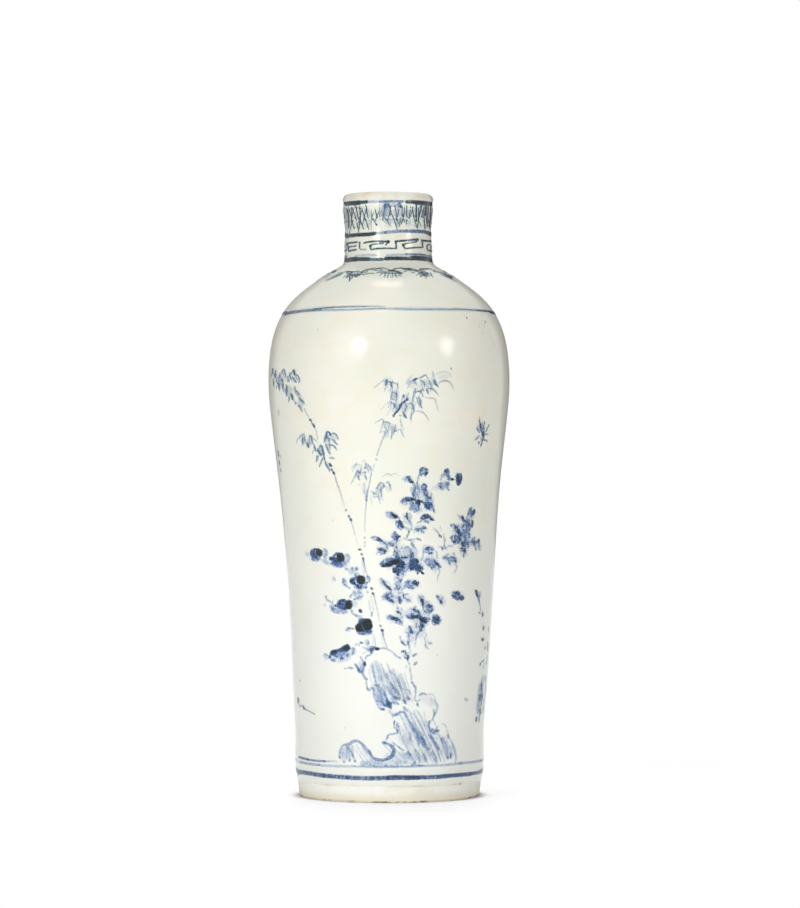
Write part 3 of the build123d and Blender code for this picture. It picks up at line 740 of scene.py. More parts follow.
RIGHT_BAMBOO = {
    "hue": 0.65, "wash_hue": 0.6, "scale": 0.88, "strength": 0.64, "wash_strength": 0.5, "soft": 0.8,
    "grain": 0.6,
    "wash": (
        (4, 0.22, 387, 430, 387, 437), (5, 0.22, 392, 429, 396, 429), (6, 0.22, 386, 381, 386, 385),
        (7, 0.26, 396, 392, 396, 396), (6, 0.26, 396, 405, 397, 410), (7, 0.28, 405, 406, 405, 411),
        (5, 0.22, 413, 402, 413, 408), (7, 0.26, 426, 381, 427, 385), (5, 0.24, 433, 377, 434, 384),
        (6, 0.26, 418, 398, 419, 403), (7, 0.2, 391, 426, 394, 428), (4, 0.35, 358, 471, 358, 477),
        (4, 0.28, 367, 464, 369, 470), (6, 0.34, 381, 486, 377.5, 494), (3.5, 0.15, 386, 487, 389, 491),
        (4, 0.14, 378, 497, 383, 500), (3.4, 0.22, 366.5, 489, 366.4, 500), (4, 0.1, 362, 475, 366, 479),
        (3, 0.14, 363, 484, 363.4, 493), (5, 0.16, 408, 384, 414, 380), (5, 0.14, 440, 377, 448, 376),
        (4, 0.14, 384, 423, 388, 426), (9, 0.12, 389, 386, 396, 398), (9, 0.14, 394, 400, 401, 410),
        (9, 0.12, 408, 382, 419, 388), (9, 0.14, 405, 397, 411, 406), (8, 0.1, 422, 384, 430, 390),
        (8, 0.1, 384, 425, 396, 432), (8, 0.1, 356, 466, 364, 472), (8, 0.1, 386, 378, 391, 382),
    ),
    "leaf": (
        (2.2, 0.6, 0.5, 387, 379.3, 385.3, 386), (2.2, 0.7, 0.6, 389, 381.5, 391, 383, 392.3, 389.5),
        (1.8, 0.38, 0.35, 390.5, 382, 397, 384.5, 398.3, 390),
        (1.9, 0.5, 0.45, 392.5, 391, 391.5, 398, 395, 400),
        (2, 0.55, 0.5, 393, 392.5, 396.5, 394, 396, 399), (1.7, 0.38, 0.3, 391.5, 401, 390.5, 408),
        (2, 0.5, 0.45, 392.5, 403, 397.5, 409), (2.2, 0.65, 0.6, 403.3, 394.5, 404, 398.5),
        (2.2, 0.4, 0.35, 405, 403, 406, 407, 404, 412), (2.6, 0.7, 0.9, 403, 411.5, 404, 414, 406.5, 418.5),
        (1.8, 0.38, 0.35, 399, 415, 402, 416),
        (2, 0.55, 0.5, 407, 405, 409.5, 403.8, 412, 404, 414, 411, 411.5, 415, 411.3, 422),
        (1.7, 0.2, 0.2, 400, 416, 401, 425, 402, 430), (2.6, 0.95, 0.85, 412.5, 380.8, 417.5, 378.2),
        (1.9, 0.38, 0.38, 414, 381.5, 417, 385),
        (2, 0.55, 0.5, 418, 378.5, 422, 377, 424, 375.5, 426, 375.5, 428.5, 379.5),
        (2.1, 0.5, 0.75, 420, 379.5, 424, 383, 424.5, 386.5),
        (1.9, 0.45, 0.45, 429, 380.5, 431, 384, 430, 386), (1.8, 0.42, 0.4, 424, 389, 421, 391.5),
        (2, 0.5, 0.5, 414, 388.5, 415.5, 390, 413, 399, 413.5, 400.5),
        (2, 0.5, 0.65, 415, 392.5, 420.5, 391.5, 423, 397), (2.2, 0.75, 0.65, 426.5, 389, 428.5, 394),
        (2, 0.65, 0.4, 427, 388.5, 432.5, 389, 439, 395.5),
        (1.7, 0.28, 0.28, 424, 397.5, 432, 398.3, 435, 399.5, 437, 407, 439, 412),
        (2.4, 0.4, 0.9, 418, 398, 420, 399, 420.5, 405, 422, 408), (1.8, 0.32, 0.3, 432.5, 371.5, 434, 377),
        (2.8, 0.7, 0.92, 434, 379.5, 436, 384, 438.5, 387),
        (2, 0.38, 0.48, 438.5, 384, 440, 382, 446.5, 380.8, 451, 384, 453.5, 389.5),
        (1.6, 0.2, 0.18, 435, 375, 442, 372, 449, 373, 452, 378),
        (1.9, 0.22, 0.42, 414, 411, 422, 412, 427.5, 418, 428.5, 421),
        (1.8, 0.35, 0.3, 375, 423, 381, 419.5, 383, 419.5, 384.5, 426),
        (1.9, 0.45, 0.42, 384, 422, 389, 422.5, 389.8, 424), (1.8, 0.34, 0.3, 384.5, 426, 387, 431),
        (1.6, 0.22, 0.2, 379, 433, 385, 430.5),
        (2, 0.5, 0.4, 391.3, 439.5, 392, 433, 394, 431.5, 398, 430.5),
        (2, 0.4, 0.32, 398, 429.5, 400.5, 429.8, 402, 433, 404, 437.5),
        (1.8, 0.2, 0.2, 351, 468.5, 354, 465.5, 357, 464.5, 360, 465),
        (2.6, 0.22, 0.2, 362, 461.5, 364, 461.2, 366, 463),
        (2, 0.35, 0.4, 365, 463.5, 365.4, 466, 364.4, 469),
        (2, 0.45, 0.45, 357.8, 470, 355.5, 475, 354.6, 478.5),
        (2.2, 0.28, 0.2, 354.2, 477.5, 352.4, 481.5, 350.6, 484),
        (1.9, 0.5, 0.55, 358.3, 475.5, 358.8, 478.5, 359.9, 480.2),
        (2.2, 0.42, 0.35, 367.5, 464.5, 370, 467, 371, 470, 371.5, 472.5),
        (1.9, 0.45, 0.5, 365, 473, 365.4, 476, 366.5, 479, 366.5, 480.5),
        (1.7, 0.28, 0.2, 364.3, 482, 364.6, 485, 364.9, 488.5), (1.6, 0.2, 0.15, 360, 483, 358.2, 486),
        (2, 0.45, 0.5, 377, 487.5, 379, 484.3, 381, 482.6, 383, 483.5, 384.3, 486.5),
        (1.8, 0.35, 0.3, 375.5, 488.7, 378, 488), (1.8, 0.4, 0.4, 384, 487.3, 381.5, 488.7, 380.5, 490.5),
        (1.8, 0.4, 0.45, 380, 489.5, 381.5, 491.5, 381.6, 495),
        (2.6, 0.32, 0.32, 371.5, 491.5, 374, 493, 376.5, 494),
        (1.5, 0.36, 0.3, 373, 496.5, 376, 497, 378.5, 496),
        (1.6, 0.2, 0.14, 371, 497, 371, 500, 372.5, 505),
        (1.8, 0.34, 0.3, 378.6, 495, 379, 499, 380.3, 503.5),
        (2.1, 0.4, 0.5, 386, 483.5, 387, 482, 388.5, 482.6, 389.6, 484.5),
        (1.8, 0.55, 0.4, 390, 485.5, 390.4, 488, 391.3, 490.5),
        (1.8, 0.2, 0.25, 382.5, 477, 385.5, 474.8, 388, 473.8, 391, 475.5, 393, 476.5),
        (1.7, 0.2, 0.12, 391, 475, 394.5, 473.8, 397, 474.5, 400, 476.5),
    ),
    "line": (
        (1.3, 0.25, 0.38, 373, 388.5, 380, 383, 384, 380, 388, 380),
        (1.3, 0.18, 0.16, 389, 401, 384.5, 406, 380, 410.5), (1.3, 0.16, 0.16, 392, 407, 386, 416),
        (1.2, 0.2, 0.2, 406, 383.5, 409.5, 378, 413, 375.3),
        (2.2, 1, 1, 393.5, 416.3, 395.3, 413, 399, 409, 400.5, 405.5, 404.5, 401.3, 408.5, 398.8),
        (2.2, 0.5, 0.4, 385.2, 431, 384.4, 435.5, 383, 438.5),
        (1.7, 0.36, 0.28, 383, 438.5, 381, 443.5, 379.5, 447.5),
        (1.4, 0.3, 0.42, 379.5, 447.5, 378, 452, 376.6, 456),
        (1.4, 0.22, 0.25, 374.6, 463.5, 373.6, 466.5, 372.4, 471),
        (1.3, 0.45, 0.42, 371.6, 472.5, 370.7, 476.5, 370.3, 480, 369.4, 484, 368.2, 489.8),
        (1.4, 0.45, 0.5, 368.2, 489.5, 367.5, 492, 367, 495),
        (1.2, 0.3, 0.3, 360.6, 468, 360.9, 472, 360.5, 475.5),
        (1.3, 0.38, 0.38, 362, 472.8, 364, 472.3, 367, 472.5),
        (1.3, 0.25, 0.25, 364.5, 488, 364.3, 491, 364.6, 494.5),
        (1.4, 0.45, 0.3, 366.4, 501.5, 366.1, 506, 365.6, 511),
        (1.5, 0.24, 0.18, 365.5, 511, 365.1, 520, 364.8, 527, 365.4, 532.5),
        (1.5, 0.3, 0.22, 365.3, 541, 365, 544, 364.6, 547.5),
        (1.3, 0.22, 0.22, 368.8, 600, 369.6, 605, 370.5, 610.5),
        (1.3, 0.26, 0.3, 374, 634, 374.7, 640, 375.6, 646.5),
        (1.1, 0.1, 0.1, 371.6, 620, 372.3, 630, 373, 645), (1.3, 0.3, 0.22, 388, 381, 384, 392),
        (1.3, 0.3, 0.22, 393, 380, 390, 392), (1.3, 0.32, 0.22, 398, 382, 396, 395),
        (1.4, 0.36, 0.28, 392, 395, 388, 408), (1.4, 0.38, 0.3, 397, 398, 392, 412),
        (1.4, 0.36, 0.3, 403, 395, 400, 408), (1.4, 0.36, 0.3, 409, 392, 404, 404),
        (1.4, 0.34, 0.28, 414, 390, 412, 402), (1.4, 0.36, 0.3, 407, 405, 403, 418),
        (1.4, 0.34, 0.3, 412, 408, 410, 420), (1.3, 0.32, 0.22, 420, 380, 424, 392),
        (1.3, 0.3, 0.22, 428, 378, 432, 390), (1.3, 0.3, 0.22, 384, 420, 380, 432),
        (1.3, 0.3, 0.22, 390, 422, 387, 434), (1.3, 0.3, 0.22, 396, 424, 393, 436),
        (1.3, 0.28, 0.2, 400, 420, 404, 430), (1.3, 0.3, 0.24, 416, 396, 420, 408),
        (1.3, 0.3, 0.24, 422, 388, 418, 399), (1.3, 0.3, 0.22, 411, 380, 407, 389),
        (1.3, 0.3, 0.22, 434, 380, 430, 392), (1.3, 0.26, 0.2, 357, 462, 352, 472),
        (1.3, 0.26, 0.2, 362, 464, 360, 474), (1.3, 0.26, 0.2, 366, 464, 369, 473),
    ),
    "dab": (
        (2.6, 1, 393.5, 416), (2.4, 1, 397, 411.5), (2.6, 1, 400.6, 405.2), (2.6, 1, 407.3, 399.4),
        (2.6, 0.42, 376.3, 459.4), (2.4, 0.62, 359.4, 472.4), (2.2, 0.4, 365.7, 467.6),
        (2.4, 0.62, 384, 485.8), (2.6, 0.5, 381.5, 496), (2.8, 0.42, 373.7, 494),
        (2.6, 0.75, 389.7, 484.8, 390, 486), (2.6, 0.8, 366.6, 496.4),
        (2.2, 0.72, 366.3, 498.6, 366.5, 501), (2.4, 0.4, 364.8, 537.8),
        (2.2, 0.55, 371.3, 612.3, 372.3, 613), (2.4, 0.75, 371.6, 615.3), (2.2, 0.45, 386.8, 382),
        (2.2, 0.5, 391, 384),
    ),
}

BERRIES = {
    "hue": 0.85, "wash_hue": 1.0, "scale": 1.0, "grain": 1.0,
    "wash": (
        (6, 0.4, 313, 558, 319, 558), (4, 0.16, 307.4, 554), (6, 0.12, 325, 551, 325, 556),
        (10, 0.1, 316, 554, 318, 555), (6, 0.5, 333, 563, 341, 564.4), (5, 0.3, 340, 565.6, 345, 563.6),
        (6, 0.13, 347.4, 556, 347, 562), (5, 0.14, 324, 560, 330, 563.4), (4, 0.16, 346.3, 568.8),
        (6, 0.16, 351, 570, 352, 573), (5, 0.16, 356, 569), (5, 0.3, 357, 574.6, 357.4, 577),
        (6, 0.4, 356, 586, 361, 587), (5, 0.2, 344.6, 580, 345, 585), (5, 0.18, 368, 579),
        (5, 0.2, 364.6, 586), (5, 0.08, 333.4, 578.4), (9, 0.17, 357, 594, 360, 596.4),
        (5, 0.18, 354.6, 592.6), (5, 0.3, 333, 610.6, 346, 611.6), (5, 0.24, 332, 607),
        (6, 0.14, 353.4, 602, 355, 605), (4.5, 0.22, 358.6, 616.6, 361, 618),
        (6, 0.36, 359.6, 632, 370, 632), (4, 0.16, 349, 629.6), (12, 0.16, 333, 656.6, 347, 655),
        (7, 0.3, 337, 653, 344, 652), (5, 0.16, 326, 657), (6, 0.16, 353.4, 651),
        (5, 0.3, 368.6, 648, 372, 651), (8, 0.1, 359, 668, 362, 664), (5, 0.22, 362.5, 666, 362, 672),
        (4, 0.14, 367, 640, 366.5, 644),
    ),
    "dab": (
        (5.4, 0.74, 313.4, 551.6, 313.2, 555.4), (2.6, 0.86, 311.8, 551.6, 311.4, 555),
        (2.4, 0.8, 313.5, 549.9, 316, 549.4), (2.4, 0.74, 312.5, 557, 316.5, 557.3),
        (1.9, 0.5, 311.8, 559.4, 314.4, 559.4), (5.6, 0.72, 333.4, 559, 337, 560.6),
        (3.4, 0.78, 330.4, 558.4, 334, 558.6), (2.8, 0.66, 333.6, 555.6, 337.6, 553.4),
        (2.6, 0.6, 334.4, 562.8, 338.4, 563.6), (2.2, 0.22, 346.3, 568.8, 346.6, 570),
        (2.2, 0.24, 352, 567.4, 352.4, 569.6), (2.2, 0.28, 356.6, 568.4),
        (6.4, 0.66, 351.6, 580.8, 354.4, 580.6), (3, 0.78, 350.8, 581.4, 353, 580),
        (2.6, 0.76, 352.4, 583.4, 355, 583.2), (2.4, 0.5, 355.6, 577.8, 357.4, 576.4),
        (3.4, 0.62, 357, 585.4, 360.4, 587), (1.8, 0.9, 360.5, 587.3), (2.2, 0.46, 366, 584, 367.4, 582.4),
        (2, 0.36, 365.4, 588, 366.6, 587.2), (2.4, 0.34, 343.4, 579, 343.2, 583),
        (2.4, 0.28, 359, 592, 361, 592.5), (2.2, 0.3, 367.5, 592), (2, 0.2, 353.5, 600, 356, 599),
        (9.4, 0.62, 339.6, 604.6, 344, 604.2), (3.4, 0.92, 338.4, 603.4, 342.4, 603.6),
        (2.6, 0.8, 335, 605.6, 338, 606), (2.6, 0.74, 341, 600.7, 345, 600.2),
        (2.8, 0.84, 342, 608, 346.2, 608.4), (2.2, 0.3, 332, 607, 333.6, 610),
        (2.9, 0.85, 359.6, 610, 361.2, 612), (3.4, 0.86, 357.2, 626.4, 356.6, 628.6),
        (3, 0.84, 358.8, 621.8, 363, 619.6), (2.4, 0.5, 361.4, 633.6, 365, 634.6),
        (2.2, 0.4, 357, 631, 358.6, 633.4), (2.2, 0.46, 368, 632.4, 371.4, 631.6),
        (2, 0.5, 360, 641.9, 362.4, 643.1), (2.4, 0.36, 368, 641.6, 368.5, 644.4),
        (6.4, 1.05, 344.2, 648.8, 348.2, 647.4), (4.6, 0.95, 331.8, 653, 336.6, 651.4),
        (3.4, 0.6, 338.4, 650.6, 342, 649.8), (2.4, 0.6, 329.6, 655.8, 329.8, 657.6),
        (3.2, 0.62, 341.2, 658, 342.6, 658.4), (2.6, 0.36, 335.4, 656.2, 337.4, 656.6),
        (2.4, 0.36, 331.4, 660, 335, 660.6), (2.8, 0.5, 347.2, 655.4, 348.2, 655),
        (2.2, 0.3, 353, 648, 353.6, 651), (2.2, 0.3, 353.4, 651.5, 352.4, 654.4),
        (3.2, 0.78, 370.8, 649.4, 373.8, 649.6), (3, 1.1, 375.6, 648.7, 378.4, 648.8),
        (2.2, 0.5, 372.5, 647, 375, 648), (2.2, 0.5, 371.4, 650.6, 371, 652.6),
        (2.7, 0.86, 364.6, 662, 364.8, 665.6), (2, 0.28, 360.6, 657, 362.5, 661),
        (2.6, 0.5, 358, 669, 360, 672.4), (2.4, 0.4, 361.4, 671.6, 362.4, 673.4),
        (2.2, 0.4, 349.6, 667.8, 352.6, 668.3),
    ),
    "line": (
        (2.6, 0.18, 0.18, 323.4, 548.6, 326, 551, 326.4, 554.4, 324, 557.6),
        (1.9, 0.14, 0.14, 321, 560, 325, 561.6, 329, 564.6),
        (2.6, 0.18, 0.16, 345.6, 553.4, 348.4, 556, 348.6, 560, 345.4, 563.4),
        (1.7, 0.24, 0.2, 355.4, 567, 357, 569.6), (2.2, 0.3, 0.24, 367.6, 576.6, 369.2, 579, 368.6, 582.6),
        (2, 0.26, 0.24, 344, 583.6, 347.5, 587, 351, 588.3), (2, 0.1, 0.1, 333, 577, 336, 580.5),
        (2, 0.26, 0.22, 362.5, 595.5, 359.5, 597, 356.5, 598.5),
        (1.9, 0.3, 0.3, 326, 595.4, 327, 599.4, 331.4, 602.4), (1.4, 0.18, 0.16, 333, 600, 332.5, 605),
        (1.8, 0.34, 0.3, 349.4, 597.6, 352, 594.4), (2, 0.32, 0.26, 351.5, 609.6, 353, 613.5, 357.6, 616.4),
        (2, 0.32, 0.3, 345.6, 631, 348, 628.7, 351, 628.2, 354.4, 629.2),
        (1.8, 0.24, 0.2, 355, 646, 358, 643.6, 359.5, 646),
        (1.6, 0.2, 0.18, 362.6, 646.4, 365, 648.4, 369, 649.6),
        (1.6, 0.26, 0.18, 379.5, 648.5, 384, 648.3, 387, 649.5),
        (1.9, 0.32, 0.34, 367.5, 655.5, 370, 655, 372, 652.5),
        (1.6, 0.24, 0.2, 367.5, 655.5, 366, 657, 365.5, 660),
        (2.2, 0.24, 0.22, 364.2, 666, 363, 669, 362.8, 672),
        (2.2, 0.24, 0.4, 354.5, 663.5, 357, 667, 358, 669.5),
        (2.2, 0.3, 0.42, 362.8, 673.5, 365, 678, 367.5, 679.8), (1.6, 0.2, 0.2, 344, 668.7, 349, 668),
        (1.5, 0.14, 0.12, 366, 681, 367, 687),
        (1.8, 0.2, 0.18, 387, 649.5, 390, 650.5, 394, 653.5, 397, 656.5, 401, 658.5),
        (1.4, 0.12, 0.1, 362, 654, 367, 651.5), (1.8, 0.14, 0.14, 325, 603.6, 325, 606.4),
        (2.2, 0.2, 0.2, 323.4, 655.4, 326, 654.4, 328, 656.4),
    ),
}

BERRY_CORES = {
    "hue": 0.25, "scale": 1.0, "strength": 1.1, "soft": 0.9, "grain": 0.7,
    "dab": (
        (6.6, 1.2, 319.2, 550.4, 319, 554.6), (9.4, 1.2, 339.4, 557.8, 341.6, 557.3),
        (5, 1, 341.6, 555.2, 342, 560), (8.2, 1.2, 361, 577.8, 361.2, 582),
        (6.2, 1.2, 349, 601.6, 348.8, 607.6), (13, 1.2, 362.4, 626.2, 367.8, 624.4),
        (10.4, 1.2, 360.2, 627.2, 365, 625.4), (8, 1.2, 358, 628, 361, 627.4),
        (11, 1.2, 365, 625.2, 369.4, 623.8), (5, 0.9, 342.6, 649, 348.2, 647.2),
        (4.6, 0.95, 345, 648.4, 348, 647.4), (3.6, 0.8, 331.2, 653.8, 337.4, 651.2),
        (3.4, 0.7, 315.4, 557, 317.4, 557.2), (4, 1.7, 386.4, 564.8, 392.6, 563.4),
        (4.6, 1.8, 391.6, 562.6, 398.4, 561.4), (4.2, 1.6, 397, 562.8, 401, 566.4),
        (2.6, 1, 382, 566, 386, 565), (3.6, 0.75, 393.6, 568.4, 396.4, 572.4),
        (3.6, 0.75, 411.4, 562, 414.4, 566), (3.4, 0.7, 415.4, 566, 419, 570.4),
        (3, 0.7, 457.8, 474.6, 458.4, 477.4), (3.4, 0.75, 458.4, 479.6, 458.8, 481.6),
        (3, 0.7, 388.4, 705.4, 389, 702.4), (2.8, 0.7, 419, 617.6, 422.4, 620.4),
    ),
}

CHRYSANTHEMUMS = {
    "hue": 0.65, "wash_hue": 0.9, "scale": 1.0, "strength": 1.1, "wash_strength": 0.95, "contrast": 1.2,
    "soft": 1.35, "grain": 1.15,
    "wash": (
        (6, 0.42, 423.6, 471, 423.6, 473.4), (5, 0.26, 404.6, 479, 408.4, 480),
        (4, 0.4, 423.6, 487, 424.6, 492), (5.5, 0.32, 413.6, 491, 416, 496.5),
        (5, 0.34, 402.5, 502, 411, 500.4), (8, 0.48, 427.4, 504.6, 429.4, 507),
        (5, 0.32, 427, 498, 430, 501), (4.6, 0.42, 413, 506, 414.2, 510), (4, 0.26, 416.6, 506, 417, 510),
        (5, 0.34, 439.6, 484.6, 446, 485.6), (4, 0.12, 432.6, 488.6, 438, 487.6),
        (5, 0.26, 409, 515, 409.6, 518), (5.4, 0.5, 398.2, 523.4, 400, 527),
        (5.4, 0.38, 388.4, 514, 392, 516), (4.4, 0.36, 373.6, 538, 378.4, 538.8),
        (6, 0.52, 395, 534.6, 395.6, 538), (5.4, 0.34, 391.6, 543.4, 394.6, 543.4),
        (5.6, 0.32, 379, 550, 382.4, 551.6), (4, 0.26, 394.6, 547, 396.6, 552),
        (3.6, 0.2, 398.4, 550, 398.4, 556), (4, 0.36, 411.4, 551.6, 412.2, 557.4),
        (6, 0.16, 403.8, 549.6, 406, 550), (6, 0.5, 382, 564, 389, 562),
        (5.8, 0.7, 398.8, 567.6, 398.6, 572), (7.6, 0.72, 413.2, 561.6, 414.8, 566),
        (4.4, 0.24, 405.6, 566.6, 410, 569.6), (5, 0.3, 397.8, 584, 398.8, 589),
        (4.4, 0.2, 380.8, 579.6, 384.2, 583.4), (6.2, 0.52, 386.2, 595.6, 389.6, 598.8),
        (6.4, 0.42, 406.8, 583.4, 412.4, 584.6), (5, 0.14, 396.4, 596, 396.4, 599),
        (6.4, 0.42, 427, 550, 430.4, 550.6), (6.6, 0.34, 430.4, 561.4, 433.6, 565),
        (4.4, 0.32, 448, 558.4, 454, 558.6), (5, 0.2, 438, 596.6, 439.4, 597),
        (6.4, 0.52, 454, 594, 458, 597), (4.4, 0.26, 421, 595.4, 421, 598),
        (3.2, 0.24, 458.4, 516, 461, 519), (5.4, 0.46, 469.8, 511.6, 471.6, 514.8),
        (5.2, 0.46, 468, 521, 469, 527.4), (3, 0.36, 453.8, 528, 456.2, 531.4),
        (6.6, 0.46, 453, 538, 457.2, 538.4), (5.4, 0.32, 461.8, 533.4, 465.2, 535.6),
        (3.2, 0.3, 470.8, 543.4, 473.4, 545), (4.4, 0.35, 388, 617, 394, 619),
        (5.4, 0.36, 414.6, 611.4, 418.2, 613.4), (4.4, 0.32, 408.6, 616, 412.4, 616.6),
        (5.4, 0.36, 422.8, 624.6, 421.6, 629.4), (6.6, 0.42, 428.8, 606.4, 429.6, 610.2),
        (8.6, 0.62, 436, 620), (5.4, 0.26, 409.4, 630, 409.8, 633), (4.4, 0.22, 403.4, 641.6, 405.6, 643),
        (6.4, 0.22, 405, 653.6, 406.4, 656.4), (4, 0.12, 426.6, 640, 427, 643),
        (3, 0.12, 409.6, 650, 409.9, 655.6), (3.4, 0.45, 404, 569, 403.4, 572.6),
        (13, 0.18, 416, 489, 425, 497), (8, 0.2, 403, 501, 411, 501), (9, 0.18, 413, 507, 420, 509),
        (8, 0.18, 428, 494, 431, 508), (8, 0.18, 423, 472, 426, 471), (6, 0.18, 406, 478, 411, 480),
        (6, 0.16, 445, 473, 449, 480), (8, 0.18, 440, 486, 447, 486), (6, 0.2, 457, 475, 459, 482),
        (8, 0.18, 390, 514, 396, 517), (7, 0.18, 399, 522, 402, 527), (8, 0.18, 423, 518, 431, 519),
        (7, 0.18, 405, 516, 409, 522), (8, 0.18, 415, 530, 424, 529), (8, 0.18, 394, 535, 397, 542),
        (7, 0.18, 381, 541, 389, 546), (7, 0.18, 379, 550, 386, 551), (15, 0.24, 388, 562, 418, 564),
        (12, 0.22, 400, 551, 414, 553), (10, 0.2, 399, 568, 402, 574), (9, 0.18, 425, 549, 432, 551),
        (12, 0.2, 427, 560, 437, 566), (9, 0.16, 445, 558, 456, 561), (12, 0.2, 456, 528, 463, 541),
        (10, 0.2, 465, 524, 468, 545), (8, 0.18, 470, 512, 472, 517), (8, 0.18, 473, 541, 479, 546),
        (8, 0.18, 462, 546, 465, 553), (8, 0.18, 383, 582, 392, 592), (8, 0.2, 397, 578, 400, 592),
        (10, 0.18, 406, 585, 416, 584), (10, 0.2, 387, 597, 396, 601), (8, 0.16, 401, 596, 410, 600),
        (8, 0.18, 420, 597, 424, 604), (9, 0.18, 427, 604, 431, 611), (8, 0.16, 440, 598, 443, 603),
        (9, 0.18, 455, 595, 461, 597), (8, 0.16, 398, 610, 402, 616), (8, 0.18, 389, 617, 400, 621),
        (14, 0.2, 410, 613, 426, 620), (8, 0.18, 434, 619, 437, 619), (10, 0.16, 416, 628, 422, 634),
        (8, 0.16, 408, 629, 412, 640),
    ),
    "leaf": (
        (2.3, 0.7, 0.75, 420, 472, 421, 469, 423.4, 468), (2, 0.42, 0.35, 419.6, 472.6, 421.2, 476),
        (2, 0.35, 0.28, 419.2, 475, 418.2, 478, 417.2, 482),
        (2.2, 0.4, 0.55, 406.4, 476.6, 409, 477.4, 410, 479.2),
        (2, 0.5, 0.6, 421.4, 486.4, 423.4, 484.2, 425.6, 484.4, 426.2, 488, 425.4, 492.2),
        (2.4, 0.7, 0.6, 424.6, 488.6, 424.2, 493.8), (1.7, 0.4, 0.36, 426.2, 489, 427.8, 491.6),
        (2, 0.36, 0.32, 417, 483, 417.6, 487, 418.2, 490),
        (2.8, 0.4, 0.36, 415.2, 485.6, 414, 491, 412.4, 493.6), (2.4, 0.22, 0.2, 412.2, 487, 411, 490.4),
        (2.4, 0.55, 0.55, 412.8, 493.4, 414.6, 497.2),
        (3.4, 0.42, 0.82, 401.2, 501.4, 404, 500, 407, 499, 410, 498.4, 413.2, 498.6),
        (2.6, 0.3, 0.28, 401.6, 501, 402.6, 504), (2.2, 0.6, 0.5, 425.4, 494.8, 428, 497.6, 430.8, 498.2),
        (1.7, 0.4, 0.36, 431.6, 493.4, 431.3, 497.2), (2, 0.5, 0.42, 426.5, 492.4, 426.6, 496.4),
        (2.2, 0.36, 0.34, 413, 502, 411.8, 506.4), (1.8, 0.38, 0.34, 410.6, 503.6, 409.4, 508, 411, 510.8),
        (1.9, 0.42, 0.38, 416.6, 503.6, 418.2, 508, 417, 511.4),
        (2, 0.26, 0.22, 418.5, 505.6, 419.6, 510.4), (2.3, 0.45, 0.4, 433.4, 508.6, 434.6, 513),
        (2.3, 0.62, 0.62, 444.3, 472.4, 446, 469.8, 448, 470, 449.4, 472.8),
        (2.6, 0.3, 0.24, 443.6, 473.6, 441.6, 477, 440.4, 480.4), (1.8, 0.36, 0.32, 448.5, 475, 450.2, 478),
        (2.3, 0.5, 0.55, 445.4, 482.4, 448, 482.8, 448.4, 485.6),
        (1.9, 0.46, 0.42, 447.6, 485, 447.3, 488, 449.2, 490.4),
        (2.2, 0.36, 0.26, 422.2, 520.4, 419.2, 522, 416.6, 523.5),
        (2.4, 0.4, 0.34, 423.8, 520.2, 427, 521.8, 428.4, 523.4),
        (2.2, 0.42, 0.4, 415.8, 529.2, 419, 531.4),
        (2.3, 0.46, 0.5, 415, 529, 420, 529, 424, 528.2, 426.8, 528.6),
        (2.3, 0.42, 0.38, 421, 529.8, 423.8, 533), (2.2, 0.55, 0.65, 407.3, 512.8, 406.8, 516, 407.6, 520),
        (2, 0.4, 0.36, 407.4, 519, 409.6, 521.4), (1.6, 0.2, 0.14, 411, 514.4, 410.4, 518.4),
        (3.2, 0.65, 0.85, 399, 520.6, 400.6, 523, 402.2, 526),
        (1.6, 0.26, 0.24, 396, 522, 397, 526, 399.6, 528.4),
        (2.6, 0.24, 0.2, 409, 521, 411.4, 525, 411, 529, 410, 531.6),
        (2.8, 0.22, 0.2, 404.4, 526.8, 408, 529, 411.4, 529.6),
        (2, 0.38, 0.34, 408.4, 534, 407.3, 536, 407, 539),
        (2, 0.38, 0.44, 416, 538.3, 418.6, 539.4, 421.2, 540.8),
        (2.2, 0.32, 0.28, 408, 540, 411.5, 539.5, 415.2, 539.4),
        (1.8, 0.26, 0.24, 410, 541.6, 412.6, 541.8, 415.2, 541.4),
        (2.4, 0.46, 0.42, 410.4, 544.6, 412.5, 544, 413.6, 546.2), (2, 0.32, 0.26, 413, 546, 415.2, 548.4),
        (2.2, 0.28, 0.3, 404.8, 548.5, 407.4, 547.5, 409.2, 549),
        (2.2, 0.15, 0.34, 433.4, 528.4, 437.5, 532, 439.2, 534.8),
        (1.8, 0.2, 0.3, 443.3, 534, 444.2, 538, 444.5, 542, 444.2, 545.4),
        (2, 0.32, 0.34, 444, 545, 445.2, 548, 446.4, 549.4),
        (2.2, 0.26, 0.24, 446.4, 547.5, 450, 546, 453.2, 546.8),
        (2.6, 0.45, 0.4, 471.7, 508, 470.3, 509, 469.4, 510),
        (1.8, 0.4, 0.4, 470.4, 509, 468.5, 513, 467.4, 516.2),
        (2.4, 0.88, 0.75, 474, 509.6, 473.8, 512, 472.4, 515.2),
        (2.4, 0.28, 0.22, 467.5, 516.8, 466, 521.2),
        (2.2, 0.88, 0.8, 471.8, 519.8, 472.1, 524, 471.4, 527.8),
        (2, 0.32, 0.3, 466.5, 520, 466, 526, 467.2, 529.4),
        (2, 0.42, 0.36, 468, 532.4, 469.4, 535.5, 468.8, 538.4),
        (2.9, 0.6, 0.92, 454, 526, 456.5, 527.6, 458, 530, 459.5, 533.2),
        (2.4, 0.62, 0.66, 455.4, 528.8, 457.2, 531.8),
        (1.9, 0.42, 0.46, 451, 537.6, 453.5, 535.8, 457.6, 536),
        (2.3, 0.78, 0.7, 451.6, 541.3, 454, 541.9, 456.4, 540.4), (2.4, 0.3, 0.3, 453.4, 544, 456.8, 543.4),
        (2.8, 0.32, 0.3, 466, 529, 467, 534.2), (3, 0.72, 0.7, 461.4, 541.4, 462.3, 544, 462.5, 547.4),
